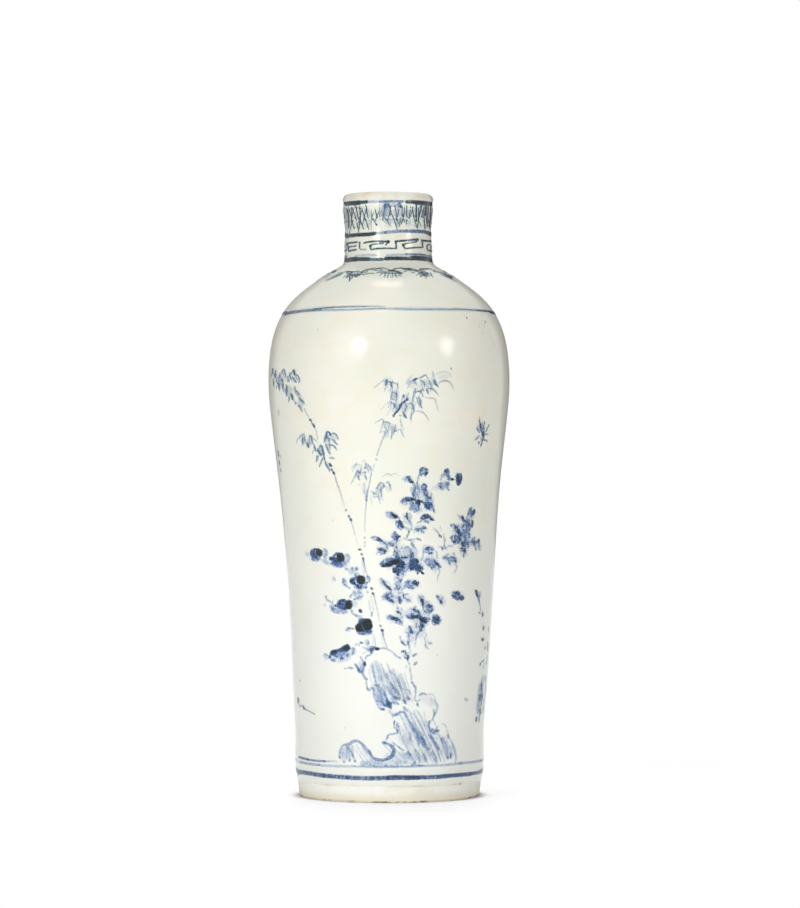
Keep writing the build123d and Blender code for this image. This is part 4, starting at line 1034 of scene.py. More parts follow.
        (3.2, 0.46, 0.5, 463.8, 541.8, 465.2, 546.4), (2.8, 0.55, 0.55, 466.4, 540.8, 468.6, 544),
        (2.4, 0.5, 0.4, 467, 543, 468.6, 546.6), (2.2, 0.32, 0.28, 461.1, 546.8, 460, 550.6),
        (3.2, 0.55, 0.5, 462, 547, 463.1, 552.4), (1.8, 0.36, 0.3, 464.6, 551.6, 463.7, 555, 463.4, 557.6),
        (2.2, 0.5, 0.5, 472.2, 539.8, 474.9, 537.6), (3.4, 0.6, 0.66, 471.8, 541, 475, 542.2, 477.8, 541.4),
        (1.9, 0.45, 0.4, 475, 543, 475, 546, 475.8, 550.4),
        (1.9, 0.38, 0.32, 479, 543, 478.8, 546, 479.9, 550),
        (2.2, 0.4, 0.36, 425.4, 561.8, 427, 559.8, 429.2, 558.4), (2.2, 0.62, 0.6, 431, 566.2, 431.9, 569),
        (1.8, 0.26, 0.2, 438, 567, 439.5, 571, 438.6, 574, 437.5, 578, 437.6, 581),
        (1.8, 0.24, 0.22, 436, 551, 436.8, 554, 437.4, 558.8),
        (2.6, 0.42, 0.38, 445, 556.8, 448, 558.6, 449.5, 562, 449.8, 565),
        (1.7, 0.26, 0.2, 455, 562.6, 456.6, 566, 456, 569, 454.8, 571, 454.2, 574),
        (2.2, 0.46, 0.4, 436.4, 595.6, 438.5, 598.4, 440.2, 601),
        (1.6, 0.3, 0.26, 442.6, 596.6, 442, 601.4),
        (2.6, 0.4, 0.7, 381.2, 578, 383, 581, 385, 584.2, 387.2, 586.6),
        (2.6, 0.85, 0.8, 385.8, 585, 388.5, 587.6, 391, 589.8), (1.7, 0.3, 0.26, 391, 590, 390, 593.4),
        (1.8, 0.3, 0.26, 390.4, 592.8, 392.6, 597.2),
        (2.4, 0.55, 0.9, 387.4, 597, 390.4, 600, 393.2, 602.2),
        (1.8, 0.22, 0.2, 380.8, 596.4, 384.2, 597.6), (1.7, 0.18, 0.16, 381.4, 600, 384.2, 599),
        (2.2, 0.55, 0.55, 406.2, 584.4, 408, 582, 410.4, 581.4),
        (1.8, 0.46, 0.44, 408.2, 587, 411, 588, 413.8, 588.8),
        (2.2, 0.2, 0.2, 405.6, 584.8, 403.5, 588, 401.8, 591.4), (2.6, 0.35, 0.3, 420.8, 598, 421.6, 602),
        (2.6, 0.7, 0.86, 421.4, 598.4, 422.5, 602, 422.6, 605.4),
        (2.6, 0.5, 0.9, 389.6, 616, 393, 618, 395.6, 620, 398, 620.8),
        (2.8, 0.75, 0.6, 394.8, 617.8, 398, 619.4, 401, 621.4), (2.2, 0.48, 0.4, 400.3, 620.8, 402.4, 624),
        (2.2, 0.26, 0.2, 395.8, 622.4, 400, 624, 403.4, 625.8),
        (2.6, 0.42, 0.4, 406.4, 615.4, 409.2, 617.8), (2.2, 0.42, 0.45, 410.4, 614.6, 413.2, 613.8),
        (2, 0.36, 0.36, 422.4, 602.6, 423, 607, 423.6, 610.4), (2, 0.42, 0.4, 424.4, 610.8, 427.2, 612.8),
        (2, 0.42, 0.4, 428.3, 611.8, 432.4, 610.2), (3, 0.48, 0.5, 430.4, 605.8, 431.8, 609, 430, 611.4),
        (2.2, 0.3, 0.3, 417, 622.8, 416.4, 626.2), (2, 0.46, 0.3, 418.6, 631.8, 417, 635, 416.2, 638.4),
        (2.6, 0.42, 0.4, 408.8, 627, 411, 630, 412.2, 633.4), (1.9, 0.35, 0.38, 407.4, 640.8, 408.6, 645.4),
        (2.4, 0.4, 0.55, 401.2, 652, 404.6, 651.6, 406, 654.4),
        (1.8, 0.46, 0.42, 402.8, 643, 405, 645, 406.8, 644.4), (2.2, 0.16, 0.32, 399.4, 635.8, 401, 640.2),
        (2, 0.3, 0.34, 403.2, 657.2, 406.2, 657.6), (2, 0.28, 0.3, 424.8, 643, 426, 646.5, 428.6, 649.4),
        (2.4, 0.4, 0.42, 412.8, 656.2, 415, 654.8, 416.6, 653.6),
        (2.6, 0.45, 0.6, 414.2, 664.2, 416.9, 662.3), (2.2, 0.4, 0.42, 417, 703, 418.2, 706.8),
        (1.9, 0.48, 0.46, 396.4, 545.8, 396.7, 548.8), (2.6, 0.4, 0.4, 396, 552, 398.2, 555.4),
        (1.8, 0.3, 0.3, 393.4, 552.6, 394.6, 556.4), (3, 0.2, 0.2, 398, 575, 397.8, 580.4),
        (2, 0.22, 0.2, 385.6, 512.6, 388.4, 513.4), (1.8, 0.3, 0.2, 397, 516.6, 399.8, 518.8),
        (2.6, 0.22, 0.3, 370.8, 538.2, 374.2, 537), (2, 0.5, 0.28, 382, 541.4, 384.5, 543, 387.2, 545.8),
        (2.4, 0.4, 0.4, 380.3, 565.2, 383, 562.8), (2.2, 0.3, 0.3, 453, 553, 455.8, 555.6),
        (1.8, 0.2, 0.2, 449, 554, 446, 555.2), (2, 0.3, 0.2, 423, 552.4, 424.6, 550.6),
        (1.8, 0.22, 0.2, 423.5, 553.6, 422.5, 557, 421, 560.4),
    ),
    "dab": (
        (2.2, 0.68, 424.4, 468.8, 427, 469.8), (2.4, 0.8, 427, 472.6, 425.2, 474.3), (2, 0.6, 420.6, 471),
        (3, 0.85, 409, 478.8, 410.2, 480.8), (2.6, 0.97, 410.4, 481.3, 412.3, 482.3),
        (2.4, 0.55, 423.4, 484.6, 425.2, 485), (1.6, 0.9, 421.5, 488.4), (1.4, 0.5, 418.5, 487),
        (1.4, 0.5, 419.2, 489.6), (1.4, 0.4, 419.6, 492), (2.8, 0.92, 407.6, 500, 412.6, 499.2),
        (2.6, 0.95, 409.6, 499.3, 412, 499), (2.3, 0.62, 413.6, 499, 415.6, 500.2),
        (3.2, 0.92, 418.2, 500.2, 418.8, 504), (2.3, 0.85, 416, 502.4, 418, 503.4),
        (2.3, 0.6, 415.6, 500.2, 417, 502), (2.3, 0.55, 420.6, 501, 425, 503),
        (3.2, 0.62, 424.2, 503.6, 430, 506.8), (2.4, 0.62, 425, 506, 430.5, 509.4),
        (2.3, 0.62, 428, 503, 433.6, 506.6), (1.8, 0.85, 430.2, 503.2, 431.4, 504.4),
        (1.2, 0.85, 431, 505.6), (1.2, 0.85, 429.4, 507.5), (1.2, 0.8, 427, 506), (1.8, 0.8, 430.3, 498),
        (2.8, 0.72, 446.2, 470.6, 447.4, 473.8), (2.2, 0.5, 445, 474.4, 448.6, 476.8),
        (2.2, 0.55, 448.8, 479.3), (2.2, 0.95, 451, 479, 453.3, 479.7),
        (2.3, 0.72, 455.8, 476.4, 459.2, 474), (3.6, 0.88, 457.5, 476, 458.4, 484.4),
        (2.2, 0.85, 460.8, 474.2, 461, 479.6), (2, 0.8, 460.6, 480.4, 459.6, 484),
        (3.2, 0.72, 458.8, 477.6, 458.8, 480), (2.9, 0.65, 440, 487.2, 441.8, 488.6), (2, 0.4, 441, 483.6),
        (4.2, 0.82, 424, 516, 429, 517), (3.6, 0.66, 421.8, 518.4, 424.6, 517.6),
        (2.4, 0.88, 430, 518.4, 433, 519.8), (1.3, 0.92, 425, 516.4), (1.3, 0.9, 427.5, 516.6),
        (1.3, 0.9, 428.8, 518.5), (1.3, 0.85, 426, 519), (2.2, 0.6, 425.4, 514.7, 428, 515.2),
        (1.9, 0.6, 423.6, 527.2, 425.4, 527.6), (2.2, 0.36, 404.5, 515.6, 406, 517.4),
        (2.6, 0.9, 400, 523.6, 402.8, 526.8), (1.8, 0.95, 402.6, 527),
        (2.4, 0.5, 408.8, 531.2, 408.7, 533.4), (2.2, 0.8, 439.6, 535.4, 440.4, 536.6),
        (2, 0.55, 442, 547.2, 442.7, 549.4), (2.2, 0.95, 462.3, 516.4, 462.7, 519.4),
        (2.4, 0.75, 461.6, 517.4, 462.5, 520), (2.3, 0.66, 463, 520, 465.4, 521), (2, 0.48, 464.3, 522.2),
        (2.4, 0.82, 472.8, 511.6, 472, 514.6), (2.6, 0.62, 468.4, 523.4, 469.5, 526.6),
        (2.2, 0.6, 469, 529, 468.4, 531), (1.7, 0.4, 450.8, 525.3), (2.6, 0.5, 452.4, 524.3, 454, 525.5),
        (2.3, 0.95, 457.6, 532.2, 459.6, 533.5), (2.2, 0.9, 460.4, 534, 460.6, 537),
        (2.2, 0.9, 460.2, 537.6, 459.4, 540.4), (1.3, 0.85, 457.5, 531), (1.3, 0.85, 458.5, 535.6),
        (1.3, 0.85, 457.8, 538), (1.4, 0.9, 459, 537.6), (2, 0.55, 457, 541, 459, 542),
        (1.9, 0.42, 455.6, 542, 458, 543), (2.2, 0.52, 461.8, 527, 463.4, 525.5),
        (2.2, 0.42, 462.2, 526, 464.5, 525), (1.9, 0.55, 463, 530, 465, 530.2),
        (1.9, 0.48, 464, 532.5, 467, 532.5), (1.9, 0.52, 467.2, 538.7), (1.7, 0.42, 464.5, 540, 464.3, 542),
        (1.9, 0.36, 464, 536, 465.5, 538.5), (2.2, 0.78, 464.3, 549, 465.2, 551.5),
        (2, 0.95, 478.8, 539.6, 478.5, 542.6), (2.2, 0.62, 425.8, 548.8, 429.6, 547.4),
        (2, 0.72, 427.8, 547.8), (2.2, 0.42, 431, 548.2, 433, 549.4), (2, 0.6, 429.4, 553, 432, 553.3),
        (1.9, 0.45, 427, 564, 429, 566), (2.2, 0.55, 434.6, 560.8, 435.5, 563),
        (2.6, 0.92, 436, 563, 438, 565.3), (2.2, 0.75, 435.6, 563.6, 437, 564.2),
        (1.8, 0.66, 438.4, 565, 440, 567), (2.2, 0.4, 432.6, 564, 434, 567),
        (1.9, 0.4, 443.4, 558.4, 444.5, 556.6), (2, 0.46, 451.8, 557.5, 455, 558),
        (2.6, 0.82, 454.4, 559.8, 455.4, 561.6), (2, 0.36, 451, 560, 452.5, 561),
        (2.5, 0.7, 440.2, 600.6, 441.8, 603.8), (2.6, 0.82, 454.6, 592.8, 457, 592.2),
        (2.6, 0.66, 458, 592, 459, 595), (2.6, 0.72, 453, 595.8, 455.2, 597.6),
        (2.4, 0.78, 456.4, 599, 459, 598.8), (3.9, 0.86, 460, 597.4, 462.6, 598.2),
        (1.8, 0.5, 452.5, 594.6, 452.2, 597), (2.6, 0.66, 391, 513, 393, 514.6),
        (2.8, 0.95, 392.8, 514.6, 396.8, 517), (2.2, 0.95, 394.6, 517, 396.2, 517.4),
        (2.4, 0.97, 378, 538.2, 381.8, 541), (2, 0.6, 376.6, 540, 379.6, 540.8),
        (2, 0.5, 393.6, 534, 394.6, 532.2), (2.2, 0.92, 396.6, 537, 399.6, 536.5),
        (2.3, 0.9, 395.6, 538.4, 397.6, 538.6), (1.9, 0.97, 398, 537.4),
        (2.2, 0.55, 396, 539.6, 396.8, 541), (2.2, 0.45, 389, 543, 391, 543.6),
        (2, 0.48, 390.6, 545, 393, 546), (1.8, 0.34, 387, 545.2, 386.6, 547),
        (1.8, 0.45, 387.4, 548, 388, 549.6), (2.4, 0.66, 379.4, 549, 384, 550),
        (3.3, 0.95, 383.4, 550.4, 385.6, 551.2), (2, 0.8, 384.3, 553), (1.7, 0.36, 381, 554.6, 383.6, 554),
        (2, 0.2, 376.4, 554), (1.8, 0.62, 394.4, 551.5), (2.2, 0.62, 396.6, 556, 397, 558.6),
        (2.6, 0.58, 398.4, 556.4, 399.5, 559.6), (1.8, 0.42, 404.4, 554, 404.5, 555.6),
        (2.2, 0.5, 401.4, 557.4, 404, 557.8), (2, 0.92, 404.4, 557.5, 406.2, 557.3), (1.8, 0.5, 411, 551.5),
        (2, 0.85, 411.5, 554.6, 411.5, 556.4), (1.8, 0.45, 412.6, 552, 413.6, 557),
        (1.8, 0.4, 410, 554, 410.5, 557), (2.6, 0.6, 385, 560, 391, 558.4),
        (2.6, 0.75, 385.6, 563, 389, 566), (2.2, 0.55, 383.6, 566, 386, 566.5),
        (4.4, 0.98, 389, 562.6, 394.6, 560.8), (3.2, 0.95, 388, 564.6, 391, 564),
        (4.6, 1, 392.6, 562.4, 400.4, 561), (3.6, 1, 399.4, 562, 404, 564),
        (2.6, 0.95, 400.4, 560.4, 403, 561.8), (2.2, 0.8, 391, 559, 393, 559.6),
        (3, 0.72, 397.4, 558.8, 399.4, 560), (2.8, 0.97, 401.2, 564.6, 402.4, 567.6),
        (2.4, 0.9, 402.2, 567.4, 401.4, 569.6), (2.5, 0.82, 397, 565.6, 397.2, 568.4),
        (2.5, 0.78, 397.4, 568.6, 398, 572), (2.8, 1, 397.8, 573.6), (2.2, 0.66, 400.6, 569, 400, 573),
        (1.8, 0.3, 402.4, 574, 402.8, 576), (1.5, 0.36, 395, 567.6, 393.8, 570), (1.9, 0.92, 393.5, 571.4),
        (2.8, 0.92, 410.8, 561, 415, 559.2), (2.6, 0.92, 416, 559.6, 417.6, 562.4),
        (3, 0.82, 409, 564, 410.4, 566.6), (2.8, 0.86, 411.4, 568, 413, 569),
        (3.2, 0.9, 413.4, 566.6, 415.6, 568.6), (2.6, 0.85, 416, 566, 419, 565.5),
        (3.3, 0.92, 418, 567, 422.4, 568.4), (2.8, 0.86, 419.4, 570, 421, 571),
        (2.8, 0.7, 416, 571, 418, 572.4), (1.8, 1, 421.3, 572.2, 423, 573.6), (2, 0.42, 417.5, 573.6),
        (2, 0.46, 409.4, 568, 410.6, 570), (2, 0.42, 407, 564, 409, 563), (2.2, 0.95, 412, 562, 414, 560.6),
        (1.3, 0.95, 413.2, 565.4), (1.3, 0.95, 417.2, 569), (1.4, 0.95, 420, 569.4),
        (2.5, 0.45, 401.4, 579.6, 399.6, 582.4), (1.8, 0.42, 396, 584.6, 397, 586.4),
        (2.2, 0.48, 399, 587, 398.5, 588.6), (2.2, 0.42, 395, 588.6, 397, 589.6),
        (3.6, 0.48, 399.6, 597.4, 400.2, 602.6), (1.8, 0.55, 400, 602.2), (1.8, 0.62, 403.5, 595.6),
        (1.9, 0.52, 403.6, 597.6, 405, 598.6), (1.9, 0.34, 405, 594.6, 408.6, 594.3),
        (2.4, 0.4, 406, 598.6, 409.8, 601.2), (1.9, 0.72, 387, 596), (2.3, 0.92, 391.6, 600, 393.2, 602),
        (2.4, 0.92, 413.3, 582.2, 413.4, 584.2), (2.4, 0.95, 415.8, 582, 416, 585),
        (2, 0.75, 417.9, 582, 417.4, 585.4), (1.7, 0.55, 412, 581.8, 416, 581.2),
        (2.8, 0.95, 393.4, 618.2, 396.4, 620.4), (1.9, 0.36, 397.8, 607.4, 398.3, 610),
        (2.6, 0.66, 397.4, 611, 399.8, 613.5), (1.7, 0.36, 401.5, 609), (1.6, 0.36, 402.3, 617.6),
        (2.4, 0.82, 414.4, 609.6), (2.2, 0.5, 412.8, 609, 415.6, 610.6),
        (1.8, 0.36, 414, 606.6, 416, 606.8), (2.6, 0.66, 417, 611.4, 419.6, 614),
        (3.3, 0.97, 412, 616.8, 417.6, 616.6), (1.9, 0.75, 411.4, 618.4, 414, 618.6),
        (2.2, 0.42, 408.4, 618, 411, 617), (2, 0.72, 416.8, 618, 418.6, 617.6),
        (3, 0.97, 419.4, 615, 422, 619), (4.6, 1, 420.6, 619, 426, 621),
        (2.8, 0.9, 423.6, 617.8, 426.6, 619.6), (2.8, 0.92, 423, 622, 426, 622.4),
        (2.2, 0.55, 427.4, 618.4, 429.6, 619.6), (2, 0.85, 418.8, 617.4, 420.4, 619.6),
        (2, 0.55, 419.4, 622, 420.5, 624), (2.6, 0.78, 422.5, 623, 422.5, 626.4),
        (1.8, 0.58, 420.5, 625, 419.8, 627.6), (2.2, 0.78, 422, 626.6, 421.2, 631),
        (2, 0.55, 420.4, 629.4, 419.8, 631), (1.2, 0.85, 421.4, 626.6), (1.3, 0.85, 421.6, 629),
        (2.4, 0.3, 415.8, 626, 417.5, 628.2), (2.2, 0.46, 426.4, 605, 428, 604.2),
        (2.2, 0.92, 429.3, 605.8), (1.8, 0.55, 428, 606.6, 427.4, 609),
        (2.4, 0.7, 433.4, 617.6, 435.4, 616.6), (2.2, 0.7, 437.4, 616.6, 439.4, 618.6),
        (2.2, 0.9, 434.4, 619, 436, 618.6), (3.2, 0.95, 436.4, 620, 438.6, 621.4),
        (2.2, 0.88, 433.6, 621, 436, 623), (2.2, 0.9, 437, 623, 438.6, 622.4), (2.2, 0.66, 410.8, 631.6),
        (2, 0.38, 409.4, 626, 411.4, 628), (2.2, 0.66, 401.4, 641, 402.6, 642.8), (2, 0.8, 408.3, 656.8),
        (2, 0.8, 407.5, 658.5), (2.2, 0.44, 406.4, 654.4, 408, 655.6), (1.8, 0.28, 400.5, 658.3),
        (3, 0.46, 430.2, 643.3, 430.9, 643.4), (2, 0.24, 406.3, 667), (2.2, 0.24, 413.4, 632.8, 415, 632.6),
    ),
    "line": (
        (1.6, 0.25, 0.28, 412, 483, 414, 486), (1.5, 0.26, 0.26, 414.5, 483, 415, 487.4),
        (1.7, 0.24, 0.32, 408.5, 632, 408.3, 636, 408.5, 640, 409, 644, 409.5, 649),
        (1.6, 0.18, 0.12, 416.3, 638, 415.3, 642, 415, 647.5), (1.7, 0.18, 0.16, 424.4, 637.6, 425, 641.4),
        (1.4, 0.14, 0.14, 426.5, 633, 425.5, 637), (1.9, 0.16, 0.18, 407.5, 660, 409.5, 665, 410, 670),
        (1.9, 0.18, 0.24, 410, 670, 411, 676, 411.3, 680),
        (2.2, 0.34, 0.38, 410.8, 681, 413, 684, 415, 687),
        (2, 0.38, 0.34, 415, 685.6, 415.6, 689, 415.5, 694), (2, 0.28, 0.24, 415.3, 694.6, 414.5, 699.4),
        (2, 0.26, 0.28, 414.5, 700, 418, 701, 419.5, 699.4),
        (1.8, 0.2, 0.2, 403, 537.8, 406, 539.3, 409, 540), (1.5, 0.14, 0.16, 440, 526, 441, 531.4),
        (1.5, 0.2, 0.2, 438, 546.4, 441.4, 547.2),
    ),
}

ROCK = {
    "hue": 0.9, "wash_hue": 0.95, "scale": 0.9, "strength": 0.58, "wash_strength": 0.42, "soft": 1.1,
    "grain": 0.7,
    "wash": (
        (10, 0.12, 374, 667, 383, 690), (12, 0.13, 388, 673, 397, 694), (10, 0.1, 401, 682, 406, 698),
        (8.5, 0.42, 375.6, 688, 380.4, 701), (6.6, 0.5, 380.4, 689, 385.4, 702),
        (7, 0.42, 377.6, 697, 381.4, 705), (3.4, 0.3, 372.4, 685, 379, 684.8),
        (5.6, 0.48, 393, 698, 396, 703), (5.4, 0.26, 391.6, 689.6, 396.6, 694.4),
        (6, 0.2, 405, 697, 405.4, 700), (3.8, 0.38, 393, 714.2, 399.4, 714),
        (4.4, 0.32, 396.8, 723, 398, 728.4), (6.6, 0.22, 405, 736, 407.6, 742),
        (5.2, 0.3, 411, 723.6, 417, 732.6), (5.4, 0.3, 417, 732, 421.4, 739.6),
        (5.2, 0.26, 421.6, 739.6, 427.4, 748.4), (6, 0.3, 432.6, 731.4, 435.6, 731.4),
        (6.4, 0.17, 426, 750, 428.4, 757), (7.4, 0.16, 432.4, 754, 436.6, 760),
        (8.6, 0.2, 444.6, 744, 449.6, 756), (4.4, 0.16, 451, 745, 453, 755.4),
        (6.6, 0.34, 404, 754, 408, 757.4), (5.4, 0.22, 397.6, 763, 402, 763),
        (10, 0.2, 343.6, 750, 348.4, 757.6), (4.4, 0.14, 431, 698, 433.6, 704),
        (8, 0.14, 372, 763.6, 380, 764), (6, 0.2, 361, 763.6, 368, 763.6),
        (5.6, 0.12, 445.5, 737, 447, 741), (6, 0.14, 420, 755.6, 424, 759.6), (5, 0.1, 400, 738, 402, 744),
        (14, 0.16, 406, 716, 424, 752), (12, 0.14, 422, 722, 440, 754), (12, 0.22, 388, 756, 424, 760),
        (10, 0.18, 343, 756, 352, 748), (8, 0.24, 362, 763, 398, 763), (14, 0.15, 376, 666, 392, 698),
        (12, 0.13, 393, 672, 408, 700), (10, 0.16, 398, 728, 408, 744), (9, 0.18, 408, 746, 414, 758),
        (8, 0.18, 442, 738, 450, 756), (9, 0.14, 422, 696, 432, 704),
    ),
    "leaf": (
        (2.6, 0.62, 0.66, 367.1, 687.4, 367.6, 689.2, 369.2, 690.3, 371.2, 690),
        (2, 0.62, 0.5, 370.4, 688.2, 373, 688, 373.8, 690.5, 373.6, 692.6),
        (2.6, 0.3, 0.32, 373.5, 692, 374.5, 697, 376.5, 703, 379, 707.5, 381, 709.6),
        (2.6, 0.5, 0.6, 384.5, 691.6, 386, 696, 387.6, 700),
        (2.4, 0.28, 0.24, 388, 710, 391, 713, 393, 716.2),
        (2.4, 0.3, 0.3, 403.8, 711.8, 406, 716, 408.5, 720, 410.2, 723.4),
        (2.4, 0.42, 0.38, 397.2, 733, 393, 734, 389.5, 734.5, 387.5, 736.5, 386.4, 740.4),
        (2.4, 0.5, 0.55, 419.2, 695.7, 421, 694, 424, 693.6, 426.8, 694.9),
        (1.8, 0.28, 0.26, 426.4, 694.8, 430, 694.3, 433, 694.8, 435.2, 697.4),
        (2.6, 0.32, 0.36, 434.4, 697.6, 435.5, 702, 437.3, 705, 437, 709, 435.5, 713, 433, 718, 431, 721,
         429.4, 722.8), (2.4, 0.42, 0.4, 433.5, 708.6, 434, 713, 433, 717.4),
        (2.7, 0.66, 0.66, 429.6, 720.6, 428.8, 724, 429, 727, 430.2, 730.4),
        (2.4, 0.5, 0.5, 430, 730.4, 433, 733, 435.3, 734), (2.3, 0.26, 0.3, 446.4, 729.6, 448.6, 735.4),
        (2.6, 0.5, 0.5, 447.4, 734.6, 449.2, 739),
        (2.5, 0.42, 0.44, 449.4, 738.6, 452, 743, 453.5, 747, 455, 752, 455.8, 758, 455, 763.4),
        (1.9, 0.22, 0.24, 441.4, 724, 444.5, 724.7, 446.6, 728.4),
        (2.4, 0.34, 0.3, 443.4, 739.6, 446, 746, 447, 751, 447.7, 757),
        (2.8, 0.5, 0.36, 441.8, 737.4, 442.5, 742.6),
    ),
    "line": (
        (1.9, 0.32, 0.3, 371.8, 662.5, 373, 667, 373.8, 672, 375, 680, 376, 686),
        (1.7, 0.28, 0.2, 376.3, 660, 377.5, 664, 379.3, 668, 381, 673, 382.6, 680),
        (1.6, 0.16, 0.14, 378.4, 675.6, 380, 683), (2, 0.14, 0.14, 386.5, 662, 389, 668, 390.6, 673),
        (1.9, 0.26, 0.22, 386.6, 673, 388.8, 680, 391.5, 685, 393.6, 689),
        (1.9, 0.22, 0.2, 392, 671.6, 395, 677, 396.6, 683),
        (2.2, 0.36, 0.34, 386.4, 685.6, 388.5, 690, 391.2, 695.6),
        (2.2, 0.16, 0.16, 398.4, 675.6, 400, 684, 402.6, 690.6),
        (1.7, 0.2, 0.18, 401, 672.6, 403, 679, 405.5, 685, 407.2, 691),
        (1.6, 0.14, 0.12, 403.4, 687.6, 405.6, 693.6), (1.8, 0.18, 0.2, 408.4, 689.6, 410.2, 694.4),
        (2.2, 0.36, 0.36, 391, 682.6, 393, 687, 396.2, 692.6),
        (1.7, 0.16, 0.14, 368.4, 668, 370, 676, 371.6, 683),
        (1.6, 0.12, 0.12, 381.6, 664, 384, 671, 385.6, 678),
        (2.4, 0.32, 0.44, 409.8, 721.6, 413, 727, 416.5, 733, 419.6, 738.4),
        (2.2, 0.4, 0.42, 416.4, 734.6, 420, 741, 424.2, 747.4),
        (2.4, 0.3, 0.28, 430, 752, 433.5, 757, 435.6, 763.4),
        (1.9, 0.28, 0.26, 409.4, 731.6, 410.8, 736, 410, 740.4), (1.5, 0.14, 0.14, 402, 729, 405.2, 733.4),
        (1.9, 0.22, 0.2, 411.4, 712.4, 415, 717, 419, 723, 422, 728, 424.6, 734.4),
        (1.7, 0.2, 0.18, 415.4, 709.6, 419, 714, 421.6, 718.4), (1.6, 0.2, 0.2, 424, 711.6, 425, 716.4),
        (2, 0.28, 0.26, 424, 721.6, 424.5, 726.4), (1.8, 0.2, 0.2, 421, 732, 424.2, 736.4),
        (1.9, 0.3, 0.3, 428.4, 734.8, 432, 739, 434.6, 743.4), (1.6, 0.16, 0.14, 431, 742, 431.2, 746.4),
        (1.6, 0.18, 0.16, 436, 737, 438.2, 740.6), (1.9, 0.22, 0.24, 424, 754.6, 425.2, 762.4),
        (2, 0.5, 0.45, 398.4, 746.4, 401, 749, 404.6, 750.6), (2.2, 0.5, 0.46, 407.4, 751.8, 411.2, 755.4),
        (2.2, 0.44, 0.4, 414.8, 748.6, 416.5, 751.8), (1.8, 0.36, 0.4, 418.4, 751.6, 419, 757, 420, 761.8),
        (2, 0.36, 0.32, 391.4, 742, 395, 744.4, 398.6, 747),
        (2.1, 0.4, 0.42, 340, 758, 339.5, 754, 342, 746.5, 345, 744.5),
        (3.2, 0.58, 0.55, 345, 744.5, 349, 744, 353, 741.7, 357, 740.9, 361, 743),
        (3.6, 0.55, 0.62, 361, 743, 364.5, 747, 368, 751.4, 371, 755),
        (3.4, 0.6, 0.7, 370.6, 754.6, 373.5, 758, 378, 759.6, 383, 760.2, 388, 758.6),
        (3.8, 0.75, 0.7, 387, 759, 392, 756, 393.9, 752, 393, 748, 391, 745.5),
        (3.2, 0.62, 0.5, 391.4, 746, 388, 744, 383.6, 742.6),
        (2.4, 0.5, 0.4, 348.6, 746, 349, 749, 351.5, 752.6, 354.4, 759),
        (1.6, 0.28, 0.28, 359, 754, 362, 759, 364, 763), (1.5, 0.2, 0.2, 356, 750, 358, 753.6),
        (1.8, 0.34, 0.3, 384, 766.4, 392, 766.8, 400, 766.7, 412, 766.3, 424, 765.5),
        (2.2, 0.5, 0.42, 386, 740, 387.4, 737.4, 388, 735),
        (2, 0.2, 0.16, 366.6, 681, 366.4, 684, 366.8, 688),
        (2, 0.4, 0.4, 421, 736.4, 423.5, 740, 425, 743.5), (1.8, 0.3, 0.3, 416, 736, 419.5, 745),
        (1.6, 0.3, 0.26, 430, 735, 436, 744, 438.5, 750), (1.7, 0.28, 0.26, 432, 750, 436, 758, 436, 765),
        (1.9, 0.3, 0.24, 403, 708, 412, 730, 421, 750, 428, 764),
        (1.7, 0.26, 0.22, 408, 708, 417, 728, 426, 748, 433, 764),
        (1.9, 0.28, 0.24, 413, 710, 422, 728, 430, 745, 438, 763),
        (1.6, 0.24, 0.2, 418, 711, 426, 728, 435, 745, 441, 762),
        (1.7, 0.26, 0.2, 399, 712, 406, 728, 413, 745, 420, 764),
        (1.7, 0.24, 0.24, 424, 716, 431, 734, 439, 748, 445, 762),
        (1.6, 0.26, 0.24, 428, 735, 437, 750, 441, 762), (1.6, 0.28, 0.24, 437, 733, 443, 745, 447, 760),
        (1.6, 0.22, 0.18, 397, 722, 402, 738, 409, 752, 415, 764),
        (1.5, 0.2, 0.18, 370, 664, 374, 676, 379, 688), (1.5, 0.22, 0.2, 374, 660, 380, 676, 386, 692),
        (1.5, 0.2, 0.18, 380, 662, 387, 680, 394, 698), (1.5, 0.2, 0.18, 387, 664, 394, 682, 401, 700),
        (1.5, 0.18, 0.18, 393, 668, 399, 684, 405, 701), (1.5, 0.18, 0.16, 399, 672, 404, 686, 410, 701),
        (1.4, 0.16, 0.14, 404, 672, 409, 688, 413, 702), (1.5, 0.24, 0.2, 343, 748, 342, 760),
        (1.5, 0.24, 0.2, 347, 746, 347, 759), (1.5, 0.22, 0.2, 352, 745, 353, 757),
        (1.5, 0.2, 0.18, 345, 744, 349, 754, 351, 762), (1.6, 0.2, 0.18, 356, 744, 363, 755, 370, 763),
        (1.6, 0.2, 0.18, 362, 748, 368, 757, 376, 764), (1.5, 0.22, 0.2, 384, 745, 394, 755, 402, 763),
        (1.5, 0.22, 0.2, 390, 744, 400, 754, 408, 763), (1.6, 0.2, 0.16, 432, 718, 438, 730, 441, 740),
    ),
    "dab": (
        (2.6, 0.55, 380, 708.6, 384.4, 709.8), (2.6, 0.88, 382.4, 709, 383.6, 709.2),
        (4, 0.97, 387.6, 700.6, 387.8, 705), (3.6, 0.97, 388.6, 704, 389.4, 707.4),
        (3.2, 0.97, 390, 702, 391, 706.4), (3.4, 0.9, 385.6, 705, 388.4, 706.2), (2.2, 0.85, 390.8, 708.2),
        (2.6, 0.78, 383.4, 704.4, 385, 706.2), (1.2, 0.82, 381.3, 701.5), (1.2, 0.85, 382.7, 702.7),
        (1.2, 0.8, 381.5, 704), (1.2, 0.8, 384, 702.6), (2.6, 0.62, 394, 697.2, 397, 698.4),
        (2.8, 0.82, 396.4, 699, 398, 698.2), (2.2, 0.55, 397, 703, 398.6, 704.4),
        (2.2, 0.55, 393, 702, 394.4, 703.4), (2.2, 0.5, 399.5, 698, 399, 700.2),
